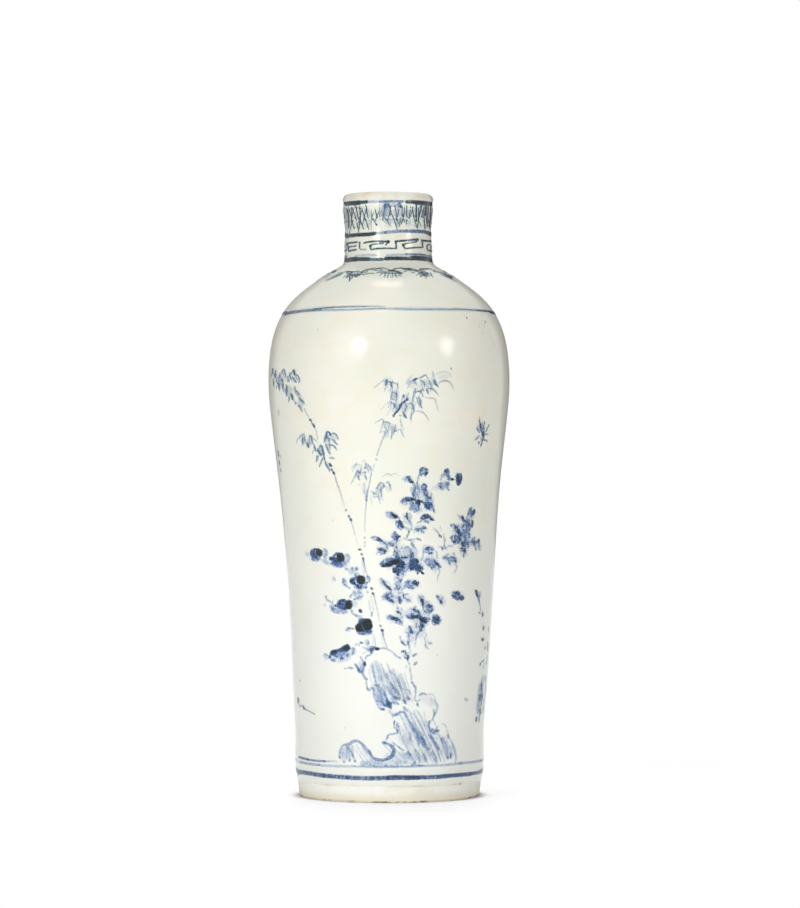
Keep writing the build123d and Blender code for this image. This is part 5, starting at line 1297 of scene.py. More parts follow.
        (2.6, 0.72, 403, 700.2, 405.8, 703.4), (2.4, 0.5, 408, 697.4, 409.5, 699.6),
        (2.4, 0.6, 403.6, 707, 407.4, 711), (2.6, 0.66, 394.6, 715, 397.4, 714.4), (2, 0.34, 392.6, 717),
        (2.2, 0.6, 398.6, 712.4, 401.4, 711.8), (2.2, 0.55, 401.4, 711.8, 404, 712.4),
        (2, 0.6, 394.3, 721.8, 393.9, 725.4), (2, 0.85, 394.3, 721.6), (1.8, 0.6, 394.5, 727.4),
        (2.6, 0.6, 396.6, 729.4, 397.4, 732), (2.2, 0.6, 398, 732.4), (1.1, 0.6, 396.6, 724.6),
        (1.1, 0.6, 398.2, 726.4), (2, 0.85, 413.3, 728.6, 414.2, 730.6),
        (3.2, 0.52, 421.8, 738, 425.4, 744.6), (2.2, 0.66, 428.3, 748, 429.4, 750),
        (2.2, 0.55, 431.4, 728.6, 433, 730), (3.2, 0.78, 434.4, 731.2, 438.2, 730.6),
        (2.2, 0.26, 436, 728, 438.4, 727), (2.4, 0.62, 434.6, 743, 436.4, 745.4),
        (2.6, 0.55, 437, 746.4, 438.4, 749.4), (1.8, 0.92, 447.6, 756.6, 447.7, 758.6),
        (1.7, 0.92, 450.5, 755.6, 450.6, 758), (1.6, 0.6, 450.3, 753, 450.5, 755.6),
        (2.6, 0.92, 414.3, 764, 415.4, 762.2), (2.2, 0.55, 411.6, 764.5, 413, 765),
        (2, 0.45, 418, 765, 421, 766), (2.6, 0.5, 405, 762, 406, 763.4),
        (2.6, 0.5, 385.4, 765.4, 387, 765.6), (4.2, 0.6, 382.8, 742.6, 385, 742.8),
        (2.6, 0.62, 344.2, 761.6), (2.6, 0.62, 349.4, 760.2), (2.6, 0.72, 355, 761.2),
        (2.4, 0.3, 361, 765.6, 364, 765.6), (1.4, 0.5, 370, 764.4), (1.3, 0.5, 374, 765.4),
        (1.4, 0.5, 378, 763.6), (1.3, 0.5, 382, 764.6), (1.3, 0.45, 366.4, 763.4), (1.3, 0.45, 376, 761.8),
        (2.2, 0.42, 391.6, 766.2), (2.2, 0.4, 397.6, 766.2), (2.2, 0.66, 339.8, 757.6),
        (2.4, 0.6, 369.2, 750.6, 371, 753.6), (2, 0.7, 391.4, 754.6, 392.6, 752.6),
    ),
}

INSECT = {
    "hue": 0.5, "wash_hue": 0.5, "scale": 0.78, "strength": 0.95, "grain": 0.7,
    "wash": (
        (4.4, 0.4, 481.6, 424, 483.4, 430.4), (4.4, 0.16, 478, 426, 479.2, 430),
        (3.6, 0.32, 481.8, 437.6, 481, 440.4),
    ),
    "line": (
        (1.6, 0.34, 0.3, 479.5, 417, 479.2, 420.4), (1.4, 0.9, 0.85, 479.2, 420, 479.8, 424.2),
        (2.1, 0.8, 0.75, 480, 423.8, 480.5, 429.4), (1.6, 0.42, 0.38, 488.8, 424.4, 488.2, 427.2),
        (1.6, 0.45, 0.42, 487.6, 427.3, 486.4, 429.8), (1.6, 0.38, 0.38, 486.4, 429.8, 485.4, 432.4),
        (2, 0.36, 0.32, 484.8, 434.5, 488, 434.2), (1.6, 0.66, 0.62, 483.6, 436.2, 483.3, 439.8),
        (1.8, 0.5, 0.42, 483.3, 439.6, 484.8, 440.3, 486.6, 440.5, 487, 442.2),
        (2.1, 0.55, 0.48, 483, 439.6, 482, 441.6, 481.3, 444, 480.5, 445.8),
        (1.5, 0.24, 0.2, 480.5, 445, 480.3, 447.4), (1.6, 0.4, 0.36, 483.7, 424.8, 483.3, 430.2),
    ),
    "leaf": (
        (2.8, 0.4, 0.36, 476.4, 428, 478, 430.4, 479.8, 432.8),
        (2.9, 0.32, 0.28, 479.8, 435.4, 477, 438, 474.2, 440.4),
    ),
    "dab": (
        (1.7, 0.98, 480.4, 426.4, 480.6, 427.8), (2.3, 0.66, 480.6, 430, 481.5, 432),
        (4, 0.92, 482.6, 432, 483.4, 435.6), (3, 0.9, 482, 434.4, 483, 436.4),
        (2, 0.55, 484, 421.6, 484.5, 424), (2.2, 0.6, 478.9, 442, 478.4, 443.6),
    ),
}

EDGE_PLANTS = {
    "hue": 0.5, "wash_hue": 0.7, "scale": 1.0,
    "wash": (
        (5, 0.26, 481, 684, 480, 700), (5, 0.26, 480, 698, 478, 712), (3, 0.2, 479.6, 592, 479.6, 596),
        (4, 0.14, 483, 676, 482.6, 684),
    ),
    "leaf": (
        (3.2, 0.9, 0.95, 474.8, 590.4, 476.4, 593, 477.6, 597),
        (2, 0.5, 0.42, 478.9, 595.6, 478.6, 599, 479.3, 602.4),
        (1.8, 0.48, 0.44, 481.5, 682, 481.5, 690, 481.8, 697, 481.5, 706),
        (1.8, 0.52, 0.45, 482.5, 693.6, 482.3, 699.6), (1.9, 0.42, 0.36, 484, 698.6, 484, 703.6),
        (2, 0.36, 0.32, 483, 705.6, 483, 712.4), (1.7, 0.34, 0.26, 479.5, 714, 479, 722.4),
        (1.8, 0.28, 0.24, 486, 683, 485.5, 690, 485, 697.4), (1.6, 0.45, 0.4, 485.5, 675.6, 485.7, 682.4),
        (1.8, 0.52, 0.45, 487.5, 642.6, 487.8, 647, 487.5, 650.6),
        (1.6, 0.3, 0.26, 488.4, 625.6, 488.4, 632.4),
    ),
    "line": (
        (1.3, 0.26, 0.2, 479.3, 602, 480, 606, 480.6, 611),
        (1.5, 0.26, 0.24, 487, 654.6, 487, 660, 485.5, 664.4),
        (1.4, 0.18, 0.14, 484.7, 658.6, 483.5, 664, 483, 669.4),
        (1.4, 0.3, 0.22, 304.6, 708.8, 310, 711.5, 315.2, 714.7),
        (2, 0.28, 0.3, 299, 706, 303, 706, 304.6, 708.4),
    ),
    "dab": (
        (2, 0.66, 482.1, 612.4, 482.5, 615.6), (2.2, 0.28, 479.5, 612.5),
        (1.8, 0.66, 483.3, 626.4, 483.4, 629.8), (2.6, 0.85, 482.6, 639.4),
        (1.8, 0.42, 485, 647, 484.6, 649.4), (2.4, 0.55, 480, 663.8, 480.2, 665),
        (1.9, 0.34, 481.6, 662, 483, 661), (2.6, 0.6, 480, 694.4, 480, 698.6),
        (2.4, 0.82, 480, 709.4, 480.4, 713.6), (2, 0.55, 476.6, 717, 476, 721.4),
        (3, 0.32, 465.4, 699, 467, 700), (1.6, 0.6, 278.3, 450.6, 278.7, 456.6), (2, 0.3, 280.4, 456.4),
        (1.5, 0.5, 279.4, 460.4, 279.8, 465.6), (1.5, 0.34, 280.6, 468.4, 280.9, 471.6),
        (1.8, 0.66, 298.4, 698, 298.5, 703.4), (1.7, 0.22, 300.1, 680.6), (2.4, 0.55, 304.1, 708),
    ),
}

SPECKS = {
    "hue": 0.0, "scale": 1.0,
    "dab": (
        (1.5, 0.75, 451, 368.7), (1.3, 0.6, 466.6, 318), (1.3, 0.6, 485, 321.7), (1.6, 0.3, 460, 783.5),
        (0.9, 0.45, 333, 520), (0.9, 0.4, 437, 655), (0.8, 0.4, 318, 330), (0.9, 0.2, 402, 350),
        (1, 0.25, 345, 728), (1, 0.22, 482, 320.4), (1.2, 0.2, 484, 324), (1, 0.18, 487.4, 322.6),
        (1.1, 0.2, 464.4, 316.4), (1, 0.18, 483, 333), (1.1, 0.16, 491, 338), (1.2, 0.14, 493.4, 344),
        (1, 0.16, 490.6, 348.6), (1.3, 0.12, 479, 326), (1.1, 0.12, 456, 320),
    ),
}


# Shader nodes

BLACK = (0.0, 0.0, 0.0, 1.0)
WHITE = (1.0, 1.0, 1.0, 1.0)

# Noises: features to the metre, detail and roughness
BROAD_TINTS = (26.0, 3.0, 0.55)
PATCHY_TINTS = (110.0, 3.0, 0.6)
SWELLS = (55.0, 2.0, 0.5)
ORANGE_PEEL = (900.0, 1.0, 0.5)
PIT_GROUPS = (37.0, 0.0, 0.5)
RIM_PATCHES = (160.0, 3.0, 0.6)
RAGGED_EDGES = (800.0, 3.0, 0.6)
GRAINS = (1900.0, 1.0, 0.5)
RUST_PATCHES = (900.0, 2.0, 0.6)
CLAY_GRAINS = (1500.0, 3.0, 0.6)
STAIN_CLOUDS = (70.0, 4.0, 0.6)
CHIP_PATCHES = (160.0, 4.0, 0.65)
TURNING_LINES = (1.0, 2.0, 0.5)

# Steps: where on its noise a tint starts to show, and where it shows in full
BROAD_STEP = (0.42, 0.62)
PATCHY_STEP = (0.46, 0.72)
RIM_STEP = (0.42, 0.66)
STAIN_STEP = (0.5, 0.72)
CHIP_STEP = (0.5, 0.58)

# Glaze, with heights and depths in metres
GLAZE_IOR = 1.5
GLAZE_BUMP = 0.6
GLAZE_BUMP_DEPTH = 0.0004
ORANGE_PEEL_SHARE = 0.05
PITS = 95.0
PIT_SHADE_AND_DIRT_COLOUR = (150, 136, 110)
PIT_RARITY = 0.66
PIT_SIZE = 0.022
PIT_SHADE_AND_DIRT_SHARE = 0.5
PIT_DEPTH = 0.6
LEAST_ROUGHNESS = 0.13
ROUGHNESS_SPREAD = 0.10
WHITER_TOP = 0.15
WHITER_FOOT = 0.05
WHITER_SHARE = 0.75
RIM_TINT = 0.5
RIM_BELOW = 0.002
RIM_ABOVE = 0.0016
FOOT_TINT_HEIGHT = 0.0012

# Cobalt and iron: colours from 0 to 255 and strengths at places on a ramp of ink
INK_STRENGTH = ((0.0, 0.0), (0.2, 0.38), (0.4, 0.64), (0.6, 0.84), (0.8, 0.94), (1.0, 0.99))
BLUE_INK = ((0.2, (66, 126, 192)), (0.4, (34, 88, 160)), (0.6, (22, 68, 130)), (0.8, (16, 44, 94)),
            (1.0, (10, 16, 34)))
GREY_INK = ((0.2, (94, 136, 156)), (0.4, (58, 102, 120)), (0.6, (48, 84, 98)), (0.8, (34, 60, 70)),
            (1.0, (14, 22, 24)))
RUST = ((0.35, (58, 40, 26)), (0.65, (104, 72, 44)))
RAGGED_SHARE = 0.8
GRAIN_EDGE_SHARE = 0.7
GRAIN_TEXTURE_SHARE = 2.4
CLEAR_RIM = 0.3
FADE_POWER = 1.1

# Clay and slip, with heights and depths in metres
CLAY_ROUGHNESS = 0.78
CLAY_BUMP = 0.5
CLAY_BUMP_DEPTH = 0.0001
CLAY_SHADE = 0.22
CLAY_DARKEST = 0.89
CLAY_STAINING = 0.55
CLAY_RINGS = 0.9
SLIP_STAINING = 0.3
SLIP_RINGS = 0.3
TURNING_SCALE = (30.0, 30.0, 1800.0)
LOW_STAIN_TOP = 0.0045
LOW_STAIN_FOOT = 0.001
LOW_STAIN_SHARE = 0.6
# Dirt in the chips and painted shade along the bottom edge of the foot
CHIPS_AND_SHADE_TOP = 0.0009
CHIPS_AND_SHADE_FOOT = 0.0003
CHIPS_AND_SHADE_SHARE = 0.8
DIRT_AND_SHADE = (96, 84, 70)


def linear(red, green, blue):
    """A colour from 0 to 255 as the shader reads it."""
    def channel(value):
        value = value / 255
        return value / 12.92 if value <= 0.04045 else ((value + 0.055) / 1.055) ** 2.4
    return (channel(red), channel(green), channel(blue), 1.0)


def grey(value):
    """A grey as the shader reads it."""
    return (value, value, value, 1.0)


def feed(tree, made, inputs):
    """Gives a node's inputs their values, or joins them to the outputs of other nodes."""
    for key, value in inputs.items():
        if isinstance(value, bpy.types.NodeSocket):
            tree.links.new(value, made.inputs[key])
        else:
            made.inputs[key].default_value = value
    return made


def node(tree, kind, inputs=None, **settings):
    """A new node with its settings and what its inputs are fed with."""
    made = tree.nodes.new("ShaderNode" + kind)
    for key, value in settings.items():
        setattr(made, key, value)
    return feed(tree, made, inputs or {})


def group(name, inputs, outputs):
    """A shader node group with its sockets, the sockets it reads from and the node that it gives to."""
    tree = bpy.data.node_groups.new(name, "ShaderNodeTree")
    for way, sockets in (("INPUT", inputs), ("OUTPUT", outputs)):
        for label, kind in sockets.items():
            tree.interface.new_socket(name=label, in_out=way, socket_type="NodeSocket" + kind)
    return tree, tree.nodes.new("NodeGroupInput").outputs, tree.nodes.new("NodeGroupOutput")


def maths(tree, operation, first, second, clamp=False):
    """A maths node fed with sockets or numbers."""
    return node(tree, "Math", {0: first, 1: second}, operation=operation, use_clamp=clamp).outputs[0]


def plus(tree, first, second, clamp=False):
    """Two sockets or numbers added."""
    return maths(tree, "ADD", first, second, clamp)


def times(tree, first, second, clamp=False):
    """Two sockets or numbers multiplied."""
    return maths(tree, "MULTIPLY", first, second, clamp)


def noise(tree, vector, settings):
    """The value of a noise texture, from its scale, detail and roughness."""
    scale, detail, roughness = settings
    return node(tree, "TexNoise", {"Vector": vector, "Scale": scale, "Detail": detail,
                                   "Roughness": roughness}).outputs["Fac"]


def ramp(tree, value, stops):
    """A colour ramp through stops of place and colour."""
    stops = list(stops)
    made = node(tree, "ValToRGB", {"Fac": value})
    elements = made.color_ramp.elements
    while len(elements) < len(stops):
        elements.new(0.5)
    for element, (place, colour) in zip(elements, stops):
        element.position = place
        element.color = colour
    return made.outputs["Color"]


def ink_ramp(tree, value, stops):
    """A colour ramp through stops of place and colour from 0 to 255."""
    return ramp(tree, value, ((place, linear(*colour)) for place, colour in stops))


def step_up(tree, value, step):
    """A share that grows from 0 to 1 while a value takes its step."""
    return ramp(tree, value, zip(step, (BLACK, WHITE)))


def smooth_step(tree, value, low, high, most=1.0):
    """A share that grows softly from 0 to most while a value goes from low to high."""
    return node(tree, "MapRange", {"Value": value, "From Min": low, "From Max": high, "To Max": most},
                interpolation_type="SMOOTHSTEP").outputs["Result"]


def mix_colour(tree, share, first, second, blend="MIX"):
    """Two colours mixed by a share, which may be a socket or a number."""
    return node(tree, "Mix", {0: share, 6: first, 7: second}, data_type="RGBA", blend_type=blend).outputs[2]


def object_place(tree):
    """The place of a point in its object."""
    return node(tree, "TexCoord").outputs["Object"]


def height_share(tree, place, low, high):
    """How far a point is up between two heights, from 0 to 1."""
    return smooth_step(tree, node(tree, "SeparateXYZ", {"Vector": place}).outputs["Z"], low, high)


def glaze_skin_group():
    """Gentle unevenness of a fired glaze: its tint, its height and its roughness."""
    tree, given, outlet = group("glaze skin", {"Vector": "Vector", "Colour": "Color", "Cool tint": "Color",
                                               "Warm tint": "Color", "Tinting": "Float"},
                                {"Colour": "Color", "Height": "Float", "Roughness": "Float"})
    vector = given["Vector"]
    patchy = noise(tree, vector, PATCHY_TINTS)
    cool = times(tree, step_up(tree, noise(tree, vector, BROAD_TINTS), BROAD_STEP), given["Tinting"])
    warm = times(tree, step_up(tree, patchy, PATCHY_STEP), given["Tinting"])
    colour = mix_colour(tree, cool, given["Colour"], given["Cool tint"])
    colour = mix_colour(tree, warm, colour, given["Warm tint"])
    # Pinholes: rare small pits, darker and browner inside, with dirt and painted shade
    pits = node(tree, "TexVoronoi", {"Vector": vector, "Scale": PITS})
    rare = maths(tree, "GREATER_THAN", noise(tree, vector, PIT_GROUPS), PIT_RARITY)
    pit = times(tree, maths(tree, "LESS_THAN", pits.outputs["Distance"], PIT_SIZE), rare)
    colour = mix_colour(tree, times(tree, pit, PIT_SHADE_AND_DIRT_SHARE), colour, linear(*PIT_SHADE_AND_DIRT_COLOUR))
    peel = times(tree, noise(tree, vector, ORANGE_PEEL), ORANGE_PEEL_SHARE)
    swell = plus(tree, noise(tree, vector, SWELLS), peel)
    height = maths(tree, "SUBTRACT", swell, times(tree, pit, PIT_DEPTH))
    rough = plus(tree, times(tree, patchy, ROUGHNESS_SPREAD), LEAST_ROUGHNESS)
    feed(tree, outlet, {"Colour": colour, "Height": height, "Roughness": rough})
    return tree


def brush_ink_group():
    """Cobalt as it lies under the glaze: colour and cover from ink, edge and hue."""
    tree, given, outlet = group("brush ink", {"Vector": "Vector", "Cover": "Float", "Ink": "Float",
                                              "Hue": "Float", "Grain": "Float"},
                                {"Colour": "Color", "Alpha": "Float"})
    ragged = maths(tree, "SUBTRACT", noise(tree, given["Vector"], RAGGED_EDGES), 0.5)
    grains = maths(tree, "SUBTRACT", noise(tree, given["Vector"], GRAINS), 0.5)
    ragged = times(tree, ragged, given["Grain"])
    grains = times(tree, grains, given["Grain"])
    edge = plus(tree, given["Cover"], times(tree, ragged, RAGGED_SHARE))
    cover = smooth_step(tree, plus(tree, edge, times(tree, grains, GRAIN_EDGE_SHARE)), 0.0, 1.0)
    # A stroke's own rim stays clear, so its outline never shows
    rim = smooth_step(tree, given["Cover"], 0.0, CLEAR_RIM)
    # The ink thins towards its edge, so a dark stroke ends in a paler and bluer one
    fade = maths(tree, "POWER", times(tree, cover, rim), FADE_POWER)
    texture = plus(tree, ragged, times(tree, grains, GRAIN_TEXTURE_SHARE))
    ink = times(tree, given["Ink"], times(tree, fade, plus(tree, texture, 1.0)), clamp=True)
    strength = ramp(tree, ink, ((place, grey(share)) for place, share in INK_STRENGTH))
    colour = mix_colour(tree, given["Hue"], ink_ramp(tree, ink, GREY_INK), ink_ramp(tree, ink, BLUE_INK))
    feed(tree, outlet, {"Colour": colour, "Alpha": strength})
    return tree


def clay_group():
    """Unglazed clay: grain, iron stains and the fine rings that the turning tool leaves."""
    tree, given, outlet = group("fired clay", {"Vector": "Vector", "Colour": "Color", "Stain": "Color",
                                               "Staining": "Float", "Rings": "Float"},
                                {"Colour": "Color", "Height": "Float"})
    grain = noise(tree, given["Vector"], CLAY_GRAINS)
    clouds = step_up(tree, noise(tree, given["Vector"], STAIN_CLOUDS), STAIN_STEP)
    colour = mix_colour(tree, times(tree, clouds, given["Staining"]), given["Colour"], given["Stain"])
    shade = plus(tree, times(tree, grain, CLAY_SHADE), CLAY_DARKEST)
    tone = node(tree, "CombineColor", {"Red": shade, "Green": shade, "Blue": shade}).outputs["Color"]
    squeezed = node(tree, "Mapping", {"Vector": given["Vector"], "Scale": TURNING_SCALE}).outputs["Vector"]
    rings = times(tree, noise(tree, squeezed, TURNING_LINES), given["Rings"])
    colour = mix_colour(tree, 1.0, colour, tone, "MULTIPLY")
    feed(tree, outlet, {"Colour": colour, "Height": plus(tree, grain, rings)})
    return tree


# Materials

def new_material(name):
    """A material with an empty node tree, and its output node."""
    material = bpy.data.materials.new(name)
    material.use_nodes = True
    tree = material.node_tree
    tree.nodes.clear()
    return material, tree, node(tree, "OutputMaterial")


def surface(tree, output, inputs, height, strength, depth):
    """The surface of a material, with its bump."""
    bump = node(tree, "Bump", {"Strength": strength, "Distance": depth, "Height": height})
    shader = node(tree, "BsdfPrincipled", {**inputs, "Normal": bump.outputs["Normal"]})
    feed(tree, output, {"Surface": shader.outputs["BSDF"]})


def glaze_material(name, colour, settings, made, whole):
    """A glossy glaze, faintly tinted and uneven. The whole coat is thin and warmer on its lip and foot."""
    material, tree, output = new_material(name)
    place = object_place(tree)
    skin = node(tree, "Group", {"Vector": place, "Colour": colour, "Cool tint": tuple(settings.cool),
                                "Warm tint": tuple(settings.warm), "Tinting": settings.tinting},
                node_tree=made["skin"]).outputs
    shown = skin["Colour"]
    if whole:
        low = times(tree, height_share(tree, place, WHITER_TOP, WHITER_FOOT), WHITER_SHARE)
        shown = mix_colour(tree, low, shown, tuple(settings.whiter))
        lip = height_share(tree, place, LIP_HEIGHT - RIM_BELOW, LIP_HEIGHT + RIM_ABOVE)
        foot = height_share(tree, place, GLAZE_FOOT + FOOT_TINT_HEIGHT, GLAZE_FOOT)
        patch = step_up(tree, noise(tree, place, RIM_PATCHES), RIM_STEP)
        worn = times(tree, plus(tree, lip, foot, clamp=True), patch)
        shown = mix_colour(tree, times(tree, worn, RIM_TINT), shown, tuple(settings.rim))
    surface(tree, output, {"Base Color": shown, "IOR": GLAZE_IOR, "Roughness": skin["Roughness"]},
            skin["Height"], GLAZE_BUMP, GLAZE_BUMP_DEPTH)
    return material


def painted_material(name, made, rust):
    """Cobalt, or rust, under the clear glaze, with the glaze's own gloss."""
    material, tree, output = new_material(name)
    material.surface_render_method = "BLENDED"
    place = object_place(tree)
    skin = node(tree, "Group", {"Vector": place}, node_tree=made["skin"]).outputs
    brushed = {"Vector": place}
    for label in ("Cover", "Ink", "Hue", "Grain"):
        layer = node(tree, "Attribute", attribute_name=label.lower(), attribute_type="GEOMETRY")
        brushed[label] = layer.outputs["Fac"]
    ink = node(tree, "Group", brushed, node_tree=made["ink"]).outputs
    colour = ink["Colour"]
    if rust:
        colour = ink_ramp(tree, noise(tree, place, RUST_PATCHES), RUST)
    surface(tree, output, {"Base Color": colour, "Alpha": ink["Alpha"], "IOR": GLAZE_IOR,
                           "Roughness": skin["Roughness"]}, skin["Height"], GLAZE_BUMP, GLAZE_BUMP_DEPTH)
    return material


def clay_material(name, colour, settings, staining, rings, made):
    """Dry fired clay or slip, stained more towards the bottom of the foot, with dirt in its chips and
    painted shade along its bottom edge.
    """
    material, tree, output = new_material(name)
    place = object_place(tree)
    stain = tuple(settings.stain)
    clay = node(tree, "Group", {"Vector": place, "Colour": colour, "Stain": stain, "Staining": staining,
                                "Rings": rings}, node_tree=made["clay"]).outputs
    # The stain grows towards the bottom of the foot
    low_stain = times(tree, height_share(tree, place, LOW_STAIN_TOP, LOW_STAIN_FOOT), LOW_STAIN_SHARE)
    shown = mix_colour(tree, low_stain, clay["Colour"], stain)
    # Dirt in the small chips along the foot, and painted shade along its bottom edge, where it meets the
    # floor
    dirt_and_shade_patches = step_up(tree, noise(tree, place, CHIP_PATCHES), CHIP_STEP)
    chips_and_edge_shade = times(tree, height_share(tree, place, CHIPS_AND_SHADE_TOP, CHIPS_AND_SHADE_FOOT), dirt_and_shade_patches)
    shown = mix_colour(tree, times(tree, chips_and_edge_shade, CHIPS_AND_SHADE_SHARE), shown, linear(*DIRT_AND_SHADE))
    surface(tree, output, {"Base Color": shown, "Roughness": CLAY_ROUGHNESS},
            clay["Height"], CLAY_BUMP, CLAY_BUMP_DEPTH)
    return material


# Settings shown in the sidebar

def colour_setting(name, description, red, green, blue):
    """A colour setting with a default from 0 to 255."""
    return FloatVectorProperty(name=name, description=description, default=linear(red, green, blue),
                               subtype="COLOR", size=4, min=0.0, max=1.0)


def power_setting(name, description, watts):
    """The power of a lamp."""
    return FloatProperty(name=name, description=description, default=watts, min=0.0, max=500.0,
                         unit="POWER")


class VASE_PG_glaze(bpy.types.PropertyGroup):
    """Sizes and colours of the glazes and the clay"""
    sides: IntProperty(name="Sides", description="Faces round the glaze", default=208, min=48, max=320,
                       subtype="UNSIGNED")
    levels: IntProperty(name="Levels", description="Faces up the glaze", default=160, min=40, max=300,
                        subtype="UNSIGNED")
    wave: FloatProperty(name="Edge Wave", description="How far the glaze edge wanders above the foot",
                        default=0.0003, min=0.0, max=0.002, unit="LENGTH", precision=5)
    thickness: FloatProperty(name="Coat", description="Thickness of the outer glaze", default=0.0004,
                             min=0.0001, max=0.001, unit="LENGTH", precision=5)
    tinting: FloatProperty(name="Tinting", description="Strength of the tints in the glaze", default=0.55,
                           min=0.0, max=1.0, subtype="FACTOR")
    colour: colour_setting("Glaze", "Colour of the clear glaze over white clay", 238, 236, 222)
    cool: colour_setting("Cool Tint", "Greenish tint where the glaze is thick", 226, 232, 220)
    warm: colour_setting("Warm Tint", "Creamy tint where the glaze is thin", 236, 228, 206)
    rim: colour_setting("Rim", "Orange tint where the glaze runs thin on the lip", 214, 176, 128)
    whiter: colour_setting("Lower Glaze", "Whiter, cooler glaze low on the body", 240, 242, 236)
    lining: colour_setting("Lining", "Colour of the inner glaze", 226, 224, 206)
    clay: colour_setting("Clay", "Colour of the bare fired clay", 247, 247, 238)
    stain: colour_setting("Stain", "Iron stain in the bare clay", 226, 214, 184)
    slip: colour_setting("Slip", "Colour of the slip in the joints", 222, 214, 194)


class VASE_PG_stage(bpy.types.PropertyGroup):
    """Floor, lamps and backdrop"""
    floor: FloatProperty(name="Floor", description="Side of the floor", default=12.0, min=2.0, max=40.0,
                         unit="LENGTH")
    distance: FloatProperty(name="Lamp Distance", description="Distance of the lamps from the vase",
                            default=1.5, min=0.5, max=5.0, unit="LENGTH")
    key: power_setting("Left Lamp", "Power of the left lamp", 6.4)
    fill: power_setting("Right Lamp", "Power of the right lamp", 2.6)
    front: power_setting("Front Lamp", "Power of the lamp over the camera", 9.6)
    back: power_setting("Back Lamp", "Power of the lamp behind the vase", 14.0)
    top: power_setting("Top Lamp", "Power of the lamp above", 8.2)
    low: power_setting("Low Lamp", "Power of the lamp low on the left", 0.13)
    windows: power_setting("Windows", "Power of the windows that the glaze mirrors", 0.15)
    ambient: FloatProperty(name="Ambient", description="Strength of the light all round", default=0.13,
                           min=0.0, max=2.0, subtype="UNSIGNED")
    backdrop: colour_setting("Backdrop", "Colour of the backdrop", 255, 255, 255)


def shared_groups():
    """The node groups that the materials share, made once."""
    made = bpy.data.node_groups
    return {
        "skin": made.get("glaze skin") or glaze_skin_group(),
        "ink": made.get("brush ink") or brush_ink_group(),
        "clay": made.get("fired clay") or clay_group(),
    }


def finish(name, context):
    """A material of the vase by name, made when it is first asked for."""
    ready = bpy.data.materials.get(name)
    if ready:
        return ready
    settings = context.scene.vase_glaze
    made = shared_groups()
    if name == "outer glaze":
        return glaze_material(name, tuple(settings.colour), settings, made, True)
    if name in ("inner glaze", "base glaze"):
        return glaze_material(name, tuple(settings.lining), settings, made, False)
    if name in ("cobalt under glaze", "iron speck"):
        return painted_material(name, made, name == "iron speck")
    if name == "fired clay":
        return clay_material(name, tuple(settings.clay), settings, CLAY_STAINING, CLAY_RINGS, made)
    return clay_material(name, tuple(settings.slip), settings, SLIP_STAINING, SLIP_RINGS, made)


# Solids in their finish: node, new piece, material and slot

CLAY_PIECES = tuple((part, "clay_" + part, "fired clay", "body_clay")
                    for part in ("lower_body", "upper_body", "neck", "floor_disc"))
SLIP_PIECES = tuple((part, "joint_" + part, "slip", "slip")
                    for part in ("waist_slip", "neck_slip", "floor_slip"))
LINING_PIECES = (
    ("inner_glaze", "lining_glaze", "inner glaze", "inner_glaze"),
    ("base_glaze", "underside_glaze", "base glaze", "base_glaze"),
)

# Pieces of brushwork: name, turns about the vase and tables of strokes

FRONT = (0.0,)
REVERSE = (math.pi,)
ALL_ROUND = (0.0, math.pi)
# The joins fill the gaps at both sides. Those of the neck's bands lie a little further round
SIDES = (math.pi / 2, -math.pi / 2)
NECK_SHIFT = 0.15
NECK_SIDES = (math.pi / 2 + NECK_SHIFT, -math.pi / 2 + NECK_SHIFT)
BAND_PIECES = (
    ("painted_rings", ALL_ROUND, RINGS, RINGS_BLUE),
    ("painted_neck_leaves", ALL_ROUND, NECK_LEAVES),
    ("painted_key_fret", ALL_ROUND, KEY_FRET),
    ("painted_garland", ALL_ROUND, GARLAND),
    ("painted_shoulder_ring", ALL_ROUND, SHOULDER_RING),
    ("painted_foot_rings", ALL_ROUND, FOOT_RINGS),
    ("side_rings", SIDES, NECK_RING_JOINS, BODY_RING_JOINS),
    ("side_neck_bands", NECK_SIDES, {**NECK_LEAVES, "span": (375, 398)}, {**KEY_FRET, "span": (369, 398)}),
    ("side_garland", SIDES, {**GARLAND, "span": (350, 422)}),
)
BAMBOO_PIECES = (
    ("painted_left_bamboo", FRONT, LEFT_BAMBOO),
    ("painted_right_bamboo", FRONT, RIGHT_BAMBOO),
    ("painted_berries", FRONT, BERRIES),
    ("painted_berry_cores", FRONT, BERRY_CORES),
)
FLOWER_PIECES = (
    ("painted_chrysanthemums", FRONT, CHRYSANTHEMUMS),
    ("painted_insect", FRONT, INSECT),
)
GROUND_PIECES = (
    ("painted_rock", FRONT, ROCK),
    ("painted_edge_plants", FRONT, EDGE_PLANTS),
)
REVERSE_PIECES = (
    ("reverse_bamboo", REVERSE, LEFT_BAMBOO, RIGHT_BAMBOO),
    ("reverse_flowers", REVERSE, BERRIES, BERRY_CORES, CHRYSANTHEMUMS),
    ("reverse_ground", REVERSE, ROCK, INSECT),
)


def dress(context, pieces):
    """Dresses solids in their finish."""
    for part, name, material, slot in pieces:
        leaned_copy(part, name, finish(material, context))


def paint(context, pieces):
    """Paints pieces of brushwork in cobalt."""
    for name, turns, *tables in pieces:
        parts = [(table, turn, False) for table in tables for turn in turns]
        painted_piece(name, parts, finish("cobalt under glaze", context))


# Operators

class VASE_OT_clay(bpy.types.Operator):
    """Dresses the thrown parts of the body in fired clay"""
    bl_idname = "vase.clay"
    bl_label = "Clay Body"

    def execute(self, context):
        dress(context, CLAY_PIECES)
        return {"FINISHED"}


class VASE_OT_slip(bpy.types.Operator):
    """Dresses the joints of slip between the thrown parts"""
    bl_idname = "vase.slip"
    bl_label = "Slip Joints"

    def execute(self, context):
        dress(context, SLIP_PIECES)
        return {"FINISHED"}


